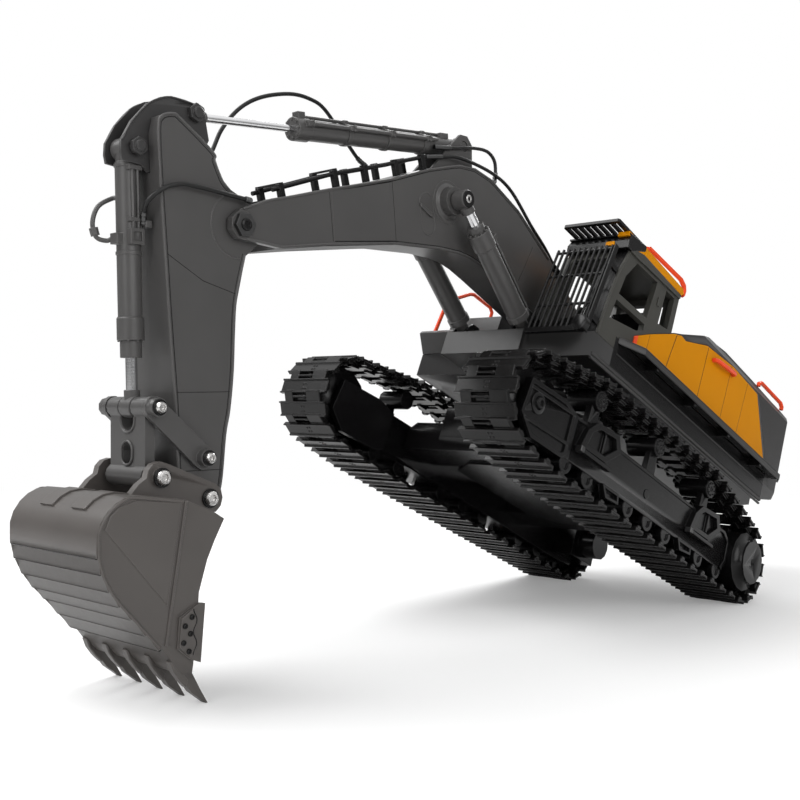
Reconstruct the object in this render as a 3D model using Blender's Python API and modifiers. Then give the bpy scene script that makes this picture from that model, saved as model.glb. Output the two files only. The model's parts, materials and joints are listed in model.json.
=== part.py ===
"""Toy excavator on rubber tracks, standing on its bucket teeth and the tail of its tracks."""
import math

import bmesh
import bpy
from mathutils import Matrix, Vector

# Sizes in metres. X runs forward, Y to the left and Z up in the machine's own frame,
# whose origin is on the slew axis at the underside of the tracks.
TILT_DEGREES = 23.30
CENTRE_SHIFT = -0.0422
GAP = 0.0003
RUN = 0.0004

TRACK_REACH = 0.13375
TRACK_RADIUS = 0.0292
IDLER_LIFT = 0.0030
TRACK_OFFSET = 0.0719
SHOE_WIDTH = 0.0412
SHOE_PITCH = 0.0150
BELT_THICKNESS = 0.0062
FRAME_WALL = 0.0040
FRAME_WIDTH = 0.0300
AXLE_RADIUS = 0.0040

HOUSE_HALF = 0.0777
DECK_BASE = 0.0840
DECK_TOP = 0.1000
SEAT_RADIUS = 0.0460
SEAT_GAP = 0.0040
RING_HEIGHT = 0.0140
PANEL_DEPTH = 0.0024
CAB_INNER = 0.0322
CAB_WALL = 0.0040
WALKWAY_WIDTH = 0.0100
RAIL_RADIUS = 0.0016

BOOM_HALF = 0.0125
TIP_HALF = 0.0190
ARM_HALF = 0.0145
BUCKET_HALF = 0.0365
SHEET = 0.0022
PIN_RADIUS = 0.0042
SMALL_PIN = 0.0030
EAR_OUTER = 0.0073
EAR_SHEET = 0.0015
BOOM_RAM_OFFSET = 0.0240
BOOM_RAM_RADIUS = 0.0064
RAM_RADIUS = 0.0056
BOOM_ROD_RADIUS = 0.0032
ARM_ROD_RADIUS = 0.0020
BUCKET_ROD_RADIUS = 0.0027
HOSE_RADIUS = 0.0011
TOOTH_WIDTH = 0.0040
SLAT_STEP = 0.0009

FOOT = (0.0220, 0.1360)
TIP = (0.3049, 0.0499)
BOOM_RAM_BASE = (0.0840, 0.1030)
BOOM_RAM_EYE = (0.1718, 0.1460)
ARM_RAM_BASE = (0.1680, 0.1890)
ARM_RAM_EYE = (0.0206, 0.0520)
BUCKET_RAM_BASE = (0.0534, 0.0298)
BUCKET_RAM_EYE = (0.0483, -0.0888)
BUCKET_HINGE = (0.0200, -0.1310)
ROCKER_PIVOT = (0.0203, -0.1122)
LINK_PIN = (0.0278, 0.0107)

for item in list(bpy.data.objects):
    bpy.data.objects.remove(item, do_unlink=True)

parts = bpy.data.collections.new("toy_excavator")
bpy.context.scene.collection.children.link(parts)


def mm(*pairs):
    """Outline points written in millimetres."""
    return [(a / 1000, b / 1000) for a, b in pairs]


def place(mesh):
    item = bpy.data.objects.new("solid", mesh)
    parts.objects.link(item)
    return item


def settle(bm, outward=True):
    """Mesh from a bmesh with its double points merged, and its normals outward if it is a fresh solid."""
    bmesh.ops.remove_doubles(bm, verts=bm.verts, dist=0.000002)
    if outward:
        bmesh.ops.recalc_face_normals(bm, faces=bm.faces)
    mesh = bpy.data.meshes.new("solid")
    bm.to_mesh(mesh)
    bm.free()
    return mesh


def evaluated(item):
    depsgraph = bpy.context.evaluated_depsgraph_get()
    return bpy.data.meshes.new_from_object(item.evaluated_get(depsgraph))


def remade(item, matrix):
    """Turn a curve or a modified object into a plain closed mesh object."""
    mesh = evaluated(item)
    bpy.data.objects.remove(item, do_unlink=True)
    bm = bmesh.new()
    bm.from_mesh(mesh)
    bmesh.ops.transform(bm, matrix=matrix, verts=bm.verts)
    return place(settle(bm))


def plate(outline, low, high, axis="Y", holes=()):
    """Flat outline with thickness: axis Y takes (x, z), axis Z takes (x, y), axis X takes (y, z)."""
    low, high = min(low, high), max(low, high)
    curve = bpy.data.curves.new("outline", "CURVE")
    curve.dimensions = "2D"
    curve.fill_mode = "BOTH"
    curve.extrude = (high - low) / 2
    for ring in [outline, *holes]:
        spline = curve.splines.new("POLY")
        spline.points.add(len(ring) - 1)
        for point, (a, b) in zip(spline.points, ring):
            point.co = (a, b, 0, 1)
        spline.use_cyclic_u = True
    middle = (low + high) / 2
    turns = {
        "Y": Matrix.Translation((0, middle, 0)) @ Matrix.Rotation(math.pi / 2, 4, "X"),
        "Z": Matrix.Translation((0, 0, middle)),
        "X": Matrix.Translation((middle, 0, 0)) @ Matrix(((0, 0, 1, 0), (1, 0, 0, 0), (0, 1, 0, 0),
                                                          (0, 0, 0, 1))),
    }
    return remade(place(curve), turns[axis])


def box(low, high):
    bm = bmesh.new()
    size = [abs(b - a) for a, b in zip(low, high)]
    middle = [(a + b) / 2 for a, b in zip(low, high)]
    bmesh.ops.create_cube(bm, size=1, matrix=Matrix.Translation(middle) @ Matrix.Diagonal((*size, 1)))
    return place(settle(bm))


def cylinder(start, end, radius, sides=12):
    start, end = Vector(start), Vector(end)
    turn = (end - start).to_track_quat("Z", "Y").to_matrix().to_4x4()
    matrix = Matrix.Translation((start + end) / 2) @ turn
    bm = bmesh.new()
    bmesh.ops.create_cone(bm, cap_ends=True, segments=sides, radius1=radius, radius2=radius,
                          depth=(end - start).length, matrix=matrix)
    return place(settle(bm))


def turned(profile, centre, axis="Y", closed=False, steps=14):
    """Profile of (radius, along) points swept round an axis by a Screw modifier."""
    bm = bmesh.new()
    points = [bm.verts.new((radius, 0, along)) for radius, along in profile]
    for first, second in zip(points, points[1:]):
        bm.edges.new((first, second))
    if closed:
        bm.edges.new((points[-1], points[0]))
    mesh = bpy.data.meshes.new("profile")
    bm.to_mesh(mesh)
    bm.free()
    item = place(mesh)
    screw = item.modifiers.new("turn", "SCREW")
    screw.axis = "Z"
    screw.steps = steps
    screw.render_steps = steps
    screw.use_merge_vertices = True
    screw.merge_threshold = 0.00001
    turn = {"Y": Matrix.Rotation(-math.pi / 2, 4, "X"), "Z": Matrix(),
            "X": Matrix.Rotation(math.pi / 2, 4, "Y")}
    return remade(item, Matrix.Translation(centre) @ turn[axis])


def flow(points, steps=2):
    """Points along a smooth curve through the given ones."""
    points = [Vector(p) for p in points]
    ends = [2 * points[0] - points[1], *points, 2 * points[-1] - points[-2]]
    smooth = []
    for a, b, c, d in zip(ends, ends[1:], ends[2:], ends[3:]):
        for step in range(steps):
            t = step / steps
            smooth.append(0.5 * (2 * b + (c - a) * t + (2 * a - 5 * b + 4 * c - d) * t ** 2
                                 + (3 * b - a - 3 * c + d) * t ** 3))
    return [*smooth, points[-1]]


def tube(points, radius, resolution=1):
    curve = bpy.data.curves.new("tube", "CURVE")
    curve.dimensions = "3D"
    curve.bevel_depth = radius
    curve.bevel_resolution = resolution
    curve.use_fill_caps = True
    spline = curve.splines.new("POLY")
    spline.points.add(len(points) - 1)
    for point, spot in zip(spline.points, points):
        point.co = (*spot, 1)
    return remade(place(curve), Matrix())


def combine(target, *tools, operation="UNION"):
    for tool in tools:
        change = target.modifiers.new("join", "BOOLEAN")
        change.operation = operation
        change.solver = "EXACT"
        change.object = tool
        mesh = evaluated(target)
        target.modifiers.clear()
        target.data = mesh
        bpy.data.objects.remove(tool, do_unlink=True)
    bm = bmesh.new()
    bm.from_mesh(target.data)
    bmesh.ops.dissolve_degenerate(bm, edges=bm.edges, dist=0.000002)
    bmesh.ops.dissolve_limit(bm, angle_limit=math.radians(0.05), verts=bm.verts, edges=bm.edges)
    target.data = settle(bm, outward=False)
    return target


def cut(target, *tools):
    return combine(target, *tools, operation="DIFFERENCE")


def arc(centre, radius, start, end, count):
    """Points on an arc, angles in degrees from the first axis towards the second."""
    turns = [math.radians(start + (end - start) * i / count) for i in range(count + 1)]
    return [(centre[0] + radius * math.cos(t), centre[1] + radius * math.sin(t)) for t in turns]


def ring(centre, radius, count=10):
    return arc(centre, radius, 0, 360, count)[:-1]


def grown(outline, gap):
    """Outline moved outward by a gap, for the pocket that a panel sits in."""
    area = sum(a[0] * b[1] - b[0] * a[1] for a, b in zip(outline, outline[1:] + outline[:1]))
    turn = 1 if area > 0 else -1
    moved = []
    for before, here, after in zip(outline[-1:] + outline[:-1], outline, outline[1:] + outline[:1]):
        first = Vector((here[0] - before[0], here[1] - before[1])).normalized()
        second = Vector((after[0] - here[0], after[1] - here[1])).normalized()
        lean = Vector((first.y, -first.x)) + Vector((second.y, -second.x))
        scale = gap * turn * 2 / max(lean.length_squared, 0.2)
        moved.append((here[0] + lean.x * scale, here[1] + lean.y * scale))
    return moved


def empty(name, location, parent=None, turn=0.0):
    """Pivot with its axis across the machine."""
    pivot = bpy.data.objects.new(name, None)
    parts.objects.link(pivot)
    pivot.empty_display_size = 0.01
    pivot.location = location
    pivot.rotation_euler = (0, turn, 0)
    pivot.parent = parent
    return pivot


def add(name, item, look, parent, origin=(0, 0, 0)):
    """Name a finished solid, give it its own material and hang it on its pivot."""
    colour, roughness, metallic = look
    item.name = name
    item.data.name = name
    material = bpy.data.materials.new(name)
    material.use_nodes = True
    shader = material.node_tree.nodes["Principled BSDF"]
    shader.inputs["Base Color"].default_value = (*colour, 1)
    shader.inputs["Roughness"].default_value = roughness
    shader.inputs["Metallic"].default_value = metallic
    item.data.materials.clear()
    item.data.materials.append(material)
    item.data.shade_smooth()
    item.data.set_sharp_from_angle(angle=math.radians(32))
    item.parent = parent
    item.location = [-value for value in origin]
    return item


CHARCOAL = ((0.055, 0.052, 0.050), 0.42, 0.0)
BROWN_GREY = ((0.070, 0.064, 0.058), 0.45, 0.0)
BLACK = ((0.012, 0.012, 0.013), 0.45, 0.0)
RUBBER = ((0.014, 0.014, 0.014), 0.6, 0.0)
OLIVE_GREY = ((0.060, 0.060, 0.055), 0.42, 0.0)
DARK_GREY = ((0.045, 0.044, 0.044), 0.45, 0.0)
YELLOW = ((0.61, 0.24, 0.004), 0.38, 0.0)
ORANGE = ((0.87, 0.09, 0.02), 0.35, 0.0)
STEEL = ((0.62, 0.62, 0.62), 0.25, 1.0)
DARK_STEEL = ((0.16, 0.16, 0.16), 0.4, 1.0)
CHROME = ((0.80, 0.80, 0.80), 0.1, 1.0)
BOARD = ((0.02, 0.16, 0.06), 0.5, 0.0)
CELL = ((0.02, 0.05, 0.22), 0.45, 0.0)
LENS = ((0.55, 0.55, 0.52), 0.15, 0.0)

TILT = math.radians(TILT_DEGREES)
turned_heel = Matrix.Rotation(-TILT, 3, "Y") @ Vector((-TRACK_REACH, 0, TRACK_RADIUS))
machine = empty("machine", (CENTRE_SHIFT - TRACK_REACH - turned_heel.x, 0, TRACK_RADIUS - turned_heel.z),
                turn=-TILT)
house = empty("slew_axis", (0, 0, 0), machine)
boom_pivot = empty("boom_axis", (FOOT[0], 0, FOOT[1]), house)
arm_pivot = empty("arm_axis", (TIP[0] - FOOT[0], 0, TIP[1] - FOOT[1]), boom_pivot, TILT)
bucket_pivot = empty("bucket_axis", (BUCKET_HINGE[0], 0, BUCKET_HINGE[1]), arm_pivot)
rocker_pivot = empty("rocker_axis", (ROCKER_PIVOT[0], 0, ROCKER_PIVOT[1]), arm_pivot)
link_pivot = empty("link_axis", (BUCKET_RAM_EYE[0] - ROCKER_PIVOT[0], 0,
                                 BUCKET_RAM_EYE[1] - ROCKER_PIVOT[1]), rocker_pivot)
boom_origin = (FOOT[0], 0, FOOT[1])


def aimed(name, base, eye, parent, offset, origin=(0, 0, 0)):
    """Pivot on a ram's base pin whose X runs to the rod eye, and the length between the pins."""
    along = Vector((eye[0] - base[0], eye[1] - base[1]))
    spot = (base[0] - origin[0], offset, base[1] - origin[2])
    return empty(name, spot, parent, -math.atan2(along.y, along.x)), along.length


# Undercarriage
SPROCKET = (-TRACK_REACH, TRACK_RADIUS)
IDLER = (TRACK_REACH, TRACK_RADIUS + IDLER_LIFT)
CARRIERS = [(IDLER[0] - 0.0574, 0.0590), (0.0032, 0.0597), (SPROCKET[0] + 0.0622, 0.0600)]
CARRIER_RADIUS = 0.0062
ROLLERS = mm((70, 12), (22, 12), (-4, 12), (-28.5, 12), (-77, 12))
ROLLERS = [(IDLER[0] - 0.0378, 0.0120), *ROLLERS, (SPROCKET[0] + 0.0308, 0.0120)]
ROLLER_RADIUS = 0.0054
WHEEL_RADIUS = TRACK_RADIUS - BELT_THICKNESS - 2 * RUN
FRAME_IN = TRACK_OFFSET - FRAME_WIDTH / 2
FRAME_OUT = TRACK_OFFSET + FRAME_WIDTH / 2
CHASSIS_HALF = FRAME_IN - GAP
SEAT_HEIGHT = DECK_BASE - SEAT_GAP


def belt_path(depth, bend=0.05):
    """Closed path round the wheels at a depth under the shoes, as points with their outward normals."""
    tread = BELT_THICKNESS + RUN
    front = (ROLLERS[0][0], ROLLERS[0][1], ROLLERS[0][1])
    wheels = [(*SPROCKET, TRACK_RADIUS), front, (*IDLER, TRACK_RADIUS)]
    wheels += [(x, z, CARRIER_RADIUS + tread) for x, z in CARRIERS]
    normals = []
    for (x1, z1, r1), (x2, z2, r2) in zip(wheels, wheels[1:] + wheels[:1]):
        along = Vector((x2 - x1, z2 - z1))
        lean = (r1 - r2) / along.length
        along.normalize()
        normals.append(along * lean + Vector((along.y, -along.x)) * math.sqrt(1 - lean * lean))
    path = []
    for (x, z, r), before, after in zip(wheels, normals[-1:] + normals[:-1], normals):
        start = math.atan2(before.y, before.x)
        sweep = (math.atan2(after.y, after.x) - start) % (2 * math.pi)
        count = max(1, round(sweep / bend))
        for step in range(count + 1):
            angle = start + sweep * step / count
            normal = Vector((math.cos(angle), math.sin(angle)))
            path.append((Vector((x, z)) + normal * (r - depth), normal))
    return path


def along_path(path, fractions):
    points = [point for point, normal in path] + [path[0][0]]
    normals = [normal for point, normal in path] + [path[0][1]]
    lengths = [0.0]
    for first, second in zip(points, points[1:]):
        lengths.append(lengths[-1] + (second - first).length)
    spots = []
    place_at = 0
    for fraction in fractions:
        target = fraction * lengths[-1]
        while place_at < len(lengths) - 2 and lengths[place_at + 1] < target:
            place_at += 1
        span = max(lengths[place_at + 1] - lengths[place_at], 1e-9)
        share = (target - lengths[place_at]) / span
        spots.append((points[place_at].lerp(points[place_at + 1], share),
                      normals[place_at].lerp(normals[place_at + 1], share).normalized()))
    return spots, lengths[-1]


def track_belt(side):
    outer = belt_path(0)
    length = along_path(outer, [0])[1]
    shoes = round(length / SHOE_PITCH)
    marks = [(shoe + part) / shoes for shoe in range(shoes) for part in (0.04, 0.10, 0.76)]
    sinks = [0.0022, 0, 0] * shoes
    spots = along_path(outer, marks)[0]
    outline = [tuple(point - normal * sink) for (point, normal), sink in zip(spots, sinks)]
    hollow = [tuple(point) for point, normal in belt_path(BELT_THICKNESS, 0.26)]
    low, high = TRACK_OFFSET - SHOE_WIDTH / 2, TRACK_OFFSET + SHOE_WIDTH / 2
    return plate(outline, side * low, side * high, holes=[hollow])


def near(wheel, *points):
    """Outline points in millimetres from a wheel's axis, with their heights over the ground."""
    return [(wheel[0] + a / 1000, b / 1000) for a, b in points]


def track_frame(side):
    wall = FRAME_WALL
    beam = near(IDLER, (-34.75, 15), (-34.75, 41.2)) + near(SPROCKET, (29.75, 42), (23.75, 36),
            (23.75, 21), (29.75, 15))
    beam = plate(beam, side * (FRAME_IN + wall - 0.001), side * (FRAME_OUT - 0.0005))
    nose = near(IDLER, (10.75, 42.8), (13.25, 22.3), (0.05, 12.2), (-30.95, 12.8), (-39.75, 16),
                (-39.75, 41.2), (-23.75, 44.5))
    outer = plate(nose, side * (FRAME_OUT - wall), side * FRAME_OUT)
    inner = plate(nose, side * FRAME_IN, side * (FRAME_IN + wall))
    heel = near(SPROCKET, (33.75, 40), (21.75, 45), (-2.25, 46.5), (-14.25, 39), (-17.25, 26),
                (-8.25, 13), (15.75, 12))
    heel += near(IDLER, (-35.75, 16.5), (-35.75, 39))
    tail = plate(heel, side * (FRAME_IN + 0.00005), side * (FRAME_IN + wall - 0.0002),
                 holes=[ring(SPROCKET, 0.0095)])
    axle = cylinder((IDLER[0], side * (FRAME_IN + 0.001), IDLER[1]),
                    (IDLER[0], side * (FRAME_OUT + 0.0012), IDLER[1]), AXLE_RADIUS, 10)
    frame = combine(beam, outer, inner, tail, axle)
    for x, z in ROLLERS:
        wheel = cylinder((x, side * (FRAME_IN + wall + 0.001), z), (x, side * (FRAME_OUT - 0.001), z),
                         ROLLER_RADIUS, 8)
        combine(frame, wheel)
    for x, z in CARRIERS:
        mast = plate([(x - 0.0055, 0.040), (x + 0.0055, 0.040), (x + 0.004, z), (x - 0.004, z)],
                     side * (FRAME_OUT - 0.0062), side * (FRAME_OUT - 0.0022))
        wheel = cylinder((x, side * (FRAME_IN + 0.010), z), (x, side * (FRAME_OUT + 0.0008), z),
                         CARRIER_RADIUS, 10)
        combine(frame, mast, wheel)
    for shift in (0, -140):
        rim = mm(*[(x + shift, z) for x, z in ((78.2, 44.6), (54.2, 46.6), (48.5, 37), (62, 26),
                                               (90, 25.6), (86, 37))])
        hole = mm(*[(x + shift, z) for x, z in ((74.5, 41.8), (57, 43.2), (53.5, 37.6), (64.5, 29),
                                                (84, 28.8), (81.5, 37))])
        step = plate(rim, side * (FRAME_OUT - 0.001), side * (FRAME_OUT + 0.0034), holes=[hole])
        combine(frame, step)
    return frame


def drive_motor(side):
    reach = FRAME_IN - GAP
    x, z = SPROCKET
    case = box((x - 0.0135, side * (reach - 0.0165), z - 0.0135), (x + 0.0175, side * reach, z + 0.0140))
    can = cylinder((x + 0.001, side * (reach - 0.0300), z), (x + 0.001, side * (reach - 0.0160), z),
                   0.0110)
    boss = cylinder((x, side * (reach - 0.001), z), (x, side * (reach + 0.0034), z), 0.0090)
    shaft = cylinder((x, side * (reach - 0.001), z), (x, side * (TRACK_OFFSET + 0.002), z), AXLE_RADIUS,
                     10)
    return combine(case, can, boss, shaft)


def drive_sprocket(side):
    """Toothed ring with a stepped hub, its teeth a running clearance inside the belt."""
    bore = AXLE_RADIUS + GAP
    start = FRAME_IN + FRAME_WALL + RUN - TRACK_OFFSET
    profile = [(0, 0.003), (bore, 0.003), (bore, start), (0.0165, start), (0.0165, 0.008),
               (0.0206, 0.0085)]
    profile += [(0.0206, 0.0190), (0.0152, 0.0208), (0.0152, 0.0250), (0.0030, 0.0250), (0, 0.0215)]
    hub = turned([(r, side * y) for r, y in profile], (SPROCKET[0], side * TRACK_OFFSET, SPROCKET[1]))
    teeth = []
    for tooth in range(12):
        for share, radius in ((0.0, 0.0178), (0.34, 0.0178), (0.50, WHEEL_RADIUS), (0.84, WHEEL_RADIUS)):
            angle = 2 * math.pi * (tooth + share) / 12
            teeth.append((SPROCKET[0] + radius * math.cos(angle), SPROCKET[1] + radius * math.sin(angle)))
    toothed = plate(teeth, side * (TRACK_OFFSET - 0.005), side * (TRACK_OFFSET + 0.0055),
                    holes=[ring(SPROCKET, 0.0120)])
    return combine(hub, toothed)


def idler_wheel(side):
    bore = AXLE_RADIUS + GAP
    half = FRAME_WIDTH / 2 - FRAME_WALL - RUN
    profile = [(bore, -half), (0.0100, -half), (0.0100, -0.0055), (0.0190, -0.0050),
               (WHEEL_RADIUS, -0.0042)]
    profile += [(WHEEL_RADIUS, 0.0042), (0.0190, 0.0050), (0.0100, 0.0055), (0.0100, half), (bore, half)]
    return turned(profile, (IDLER[0], side * TRACK_OFFSET, IDLER[1]), closed=True)


def chassis():
    body = plate(mm((84, 22), (62, 42), (-62, 42), (-84, 22), (-84, -22), (-62, -42), (62, -42),
                    (84, -22)), 0.030, 0.050, axis="Z")
    belly = plate(mm((58, 14), (44, 34), (-44, 34), (-58, 14), (-58, -14), (-44, -34), (44, -34),
                     (58, -14)), 0.0220, 0.031, axis="Z")
    drum = cylinder((0, 0, 0.049), (0, 0, SEAT_HEIGHT - RING_HEIGHT), SEAT_RADIUS - 0.001, 20)
    combine(body, belly, drum)
    for x in (-62, 62):
        leg = plate(mm((x - 15, 24), (x + 15, 24), (x + 15, 38), (x + 9, 45), (x - 9, 45), (x - 15, 38)),
                    -CHASSIS_HALF, CHASSIS_HALF)
        combine(body, leg)
    return body


def slew_ring():
    inner, outer = SEAT_RADIUS - 0.0120, SEAT_RADIUS
    low, high = SEAT_HEIGHT - RING_HEIGHT + GAP, SEAT_HEIGHT
    profile = [(inner, low), (outer, low), (outer, low + 0.004), (outer - 0.0015, low + 0.0052)]
    profile += [(outer - 0.0015, high - 0.005), (outer, high - 0.004), (outer, high), (inner, high)]
    return turned(profile, (0, 0, 0), axis="Z", closed=True, steps=20)


add("chassis_frame", chassis(), BLACK, machine)
add("slew_ring", slew_ring(), DARK_STEEL, machine)
for side, hand in ((1, "left"), (-1, "right")):
    add("track_frame_" + hand, track_frame(side), BLACK, machine)
    add("track_belt_" + hand, track_belt(side), RUBBER, machine)
    add("drive_motor_" + hand, drive_motor(side), BLACK, machine)
    spin = empty("sprocket_axis_" + hand, (SPROCKET[0], side * TRACK_OFFSET, SPROCKET[1]), machine)
    add("drive_sprocket_" + hand, drive_sprocket(side), BLACK, spin, spin.location)
    spin = empty("idler_axis_" + hand, (IDLER[0], side * TRACK_OFFSET, IDLER[1]), machine)
    add("idler_wheel_" + hand, idler_wheel(side), BLACK, spin, spin.location)

# House
PANEL_OUT = HOUSE_HALF + GAP
PANEL_IN = PANEL_OUT - PANEL_DEPTH
PANEL = mm((43.6, 118.5), (29.5, 126.7), (0.9, 141.4), (-8.6, 144.7), (-15.2, 144.0), (-43.9, 154.7),
           (-86.6, 158.5), (-129.1, 156.8), (-154.3, 122.1), (-162.3, 111.0), (43.6, 111.0))
FLOOR = DECK_TOP + GAP
WALK_TOP = 0.1093
SHOULDER = [(HOUSE_HALF + y, z) for y, z in mm((-11.2, 172.0), (1.3, 157.6), (6.3, 157.6), (6.3, 180),
                                               (-11.2, 180))]


def shoulders(front, rear):
    """Cutters for the sloped shoulders along both top edges of the rear body."""
    pairs = []
    for side in (1, -1):
        pairs.append(plate([(side * y, z) for y, z in SHOULDER], rear, front, axis="X"))
    return pairs


def panel_pockets():
    return [plate(grown(PANEL, GAP), side * (PANEL_IN - GAP), side * (PANEL_OUT + 0.004))
            for side in (1, -1)]


def house_deck():
    half = HOUSE_HALF
    plan = [(-0.150, -half), (0.064, -half), (0.064, -0.0312), (0.095, -0.0312), (0.095, 0.0312),
            (0.0872, 0.0312)]
    plan += [(0.0872, half), (-0.150, half), (-0.171, half - 0.010), (-0.178, half - 0.030), (-0.180, 0)]
    plan += [(-0.178, 0.030 - half), (-0.171, 0.010 - half)]
    deck = plate(plan, DECK_BASE, DECK_TOP, axis="Z")
    seat = cylinder((0, 0, SEAT_HEIGHT + GAP), (0, 0, DECK_BASE + 0.002), SEAT_RADIUS - 0.0008, 20)
    spigot = cylinder((0, 0, SEAT_HEIGHT - 0.011), (0, 0, SEAT_HEIGHT + 0.002), SEAT_RADIUS - 0.0125, 20)
    combine(deck, seat, spigot)
    x, z = FOOT
    inner = BOOM_HALF + 2 * RUN
    for side in (1, -1):
        cheek = [(x - 0.020, DECK_TOP - 0.002), (x + 0.021, DECK_TOP - 0.002), (x + 0.0115, z - 0.003)]
        cheek += arc(FOOT, 0.0105, 0, 180, 6) + [(x - 0.0115, z - 0.003)]
        bracket = plate(cheek, side * inner, side * (inner + 0.004), holes=[ring(FOOT, PIN_RADIUS + GAP)])
        combine(deck, bracket)
        x2, z2 = BOOM_RAM_BASE
        low, high = side * (BOOM_RAM_OFFSET - 0.0046), side * (BOOM_RAM_OFFSET + 0.0046)
        cut(deck, cylinder((x2, low, z2), (x2, high, z2), 0.0068))
        lug = [(x2 - 0.011, DECK_TOP - 0.002), (x2 + 0.0095, DECK_TOP - 0.002), (x2 + 0.0062, z2 + 0.003)]
        lug += [(x2 + 0.003, z2 + 0.0062), (x2 - 0.003, z2 + 0.0062), (x2 - 0.0062, z2 + 0.003)]
        for shift in (-0.0046 - 0.0018, 0.0046):
            low = BOOM_RAM_OFFSET + shift
            ear = plate(lug, side * low, side * (low + 0.0018),
                        holes=[ring(BOOM_RAM_BASE, SMALL_PIN + GAP)])
            combine(deck, ear)
    return deck


def engine_hood():
    side = mm((1.2, 0), (1.2, 142.0), (-9, 146.2), (-61.3, 170.3), (-90.9, 173.5), (-138.6, 173.0),
              (-133.6, 157.0), (-158.8, 122.0), (-174.4, 0))
    side[0] = (side[0][0], FLOOR)
    side[-1] = (side[-1][0], FLOOR)
    hood = plate(side, -HOUSE_HALF, HOUSE_HALF)
    cut(hood, *shoulders(0.01, -0.19))
    hollow = mm((-5, 90), (-5, 136.5), (-62, 163), (-91, 166), (-124, 166), (-119.5, 154), (-144, 121),
                (-154, 90))
    cut(hood, plate(hollow, -PANEL_IN + 0.005, PANEL_IN - 0.005))
    cut(hood, *panel_pockets())
    return hood


def counterweight():
    side = mm((-139.0, 173.0), (-196, 171.5), (-220, 161), (-216, 128), (-205, 0), (-174.8, 0),
              (-159.2, 122.0), (-134.0, 157.0))
    side[4] = (side[4][0], FLOOR)
    side[5] = (side[5][0], FLOOR)
    weight = plate(side, -HOUSE_HALF, HOUSE_HALF)
    half = HOUSE_HALF
    plan = [(-0.120, -half - 0.001), (-0.186, -half - 0.001), (-0.204, 0.009 - half),
            (-0.215, 0.032 - half)]
    plan += [(-0.2215, 0), (-0.215, half - 0.032), (-0.204, half - 0.009), (-0.186, half + 0.001),
             (-0.120, half + 0.001)]
    combine(weight, plate(plan, FLOOR - 0.01, 0.19, axis="Z"), operation="INTERSECT")
    return cut(weight, *shoulders(-0.10, -0.23))


def walkway(side):
    half = HOUSE_HALF + GAP
    edge = half + WALKWAY_WIDTH
    plan = [(0.080, side * half), (0.046, side * edge), (-0.170, side * edge),
            (-0.177, side * (edge - 0.004))]
    plan += [(-0.177, side * half)]
    base = WALK_TOP - 0.0095
    step = plate(plan, base, WALK_TOP, axis="Z")
    for front, rear in ((0.042, 0.008), (0.006, -0.045), (-0.047, -0.104), (-0.106, -0.167)):
        pocket = box((rear, side * (half + 0.0014), base - 0.002),
                     (front, side * (edge - 0.0014), WALK_TOP - 0.002))
        cut(step, pocket)
    return step


CAB_FRONT = mm((85.2, 0), (81.3, 131), (78, 147), (71.5, 164.5), (4.2, 168.0), (4.2, 0))
CAB_FRONT = [(x, max(z, FLOOR)) for x, z in CAB_FRONT]


def cab_frame():
    low, high = CAB_INNER, HOUSE_HALF
    cab = plate(CAB_FRONT, low, high)
    inside = [(0.0805, FLOOR + 0.003), *mm((77, 131), (74, 146), (68.2, 161.2), (8.5, 164.2)),
              (0.0085, FLOOR + 0.003)]
    cut(cab, plate(inside, low + CAB_WALL, high - CAB_WALL))
    door = mm((72.2, 133.2), (69.5, 147), (60.5, 161.0), (33.5, 162.0), (36.4, 134.5))
    lower = mm((75.4, 115.2), (45, 121.5), (37, 125.6), (37, 130.0), (73.2, 128.8))
    rear = mm((22.5, 138), (21.5, 162.5), (9.8, 163), (9.8, 140))
    inner = mm((72, 118), (66, 158), (11, 160), (11, 118))
    cut(cab, plate(door, high - CAB_WALL - 0.002, high + 0.002))
    cut(cab, plate(lower, high - CAB_WALL - 0.002, high + 0.002))
    cut(cab, plate(rear, high - CAB_WALL - 0.002, high + 0.002))
    cut(cab, plate(inner, low - 0.002, low + CAB_WALL + 0.002))
    cut(cab, box((0.066, low + 0.0055, 0.1060), (0.095, high - 0.0055, 0.1590)))
    cut(cab, box((0.001, low + 0.008, 0.1440), (0.012, high - 0.008, 0.1600)))
    cut(cab, *panel_pockets())
    return cab


def cab_roof():
    low, high = CAB_INNER - 0.001, HOUSE_HALF + 0.0012
    outline = mm((74.5, 164.7), (4.0, 168.35), (2.0, 170.5), (4.0, 173.2), (58, 174.2), (72, 171.5))
    roof = plate(outline, low, high)
    return cut(roof, box((0.020, low + 0.008, 0.1725), (0.050, high - 0.010, 0.180)))


def cab_seat():
    middle = (CAB_INNER + HOUSE_HALF) / 2
    floor = FLOOR + 0.003 + GAP
    side = [(0.020, floor), (0.050, floor), (0.053, 0.1130), (0.052, 0.1175), (0.031, 0.1165),
            (0.0235, 0.1460)]
    side += [(0.0190, 0.1480), (0.0165, 0.1450), (0.0200, 0.1160)]
    return plate(side, middle - 0.0125, middle + 0.0125)


def cab_console():
    middle = (CAB_INNER + HOUSE_HALF) / 2
    floor = FLOOR + 0.003 + GAP
    base = plate([(0.063, floor), (0.0765, floor), (0.0745, 0.1170), (0.0660, 0.1210)], middle - 0.014,
                 middle + 0.014)
    levers = [tube([(0.0690, middle + y, 0.1180), (0.0640, middle + y, 0.1290)], 0.0013)
              for y in (-0.008, 0.008)]
    return combine(base, *levers)


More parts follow.
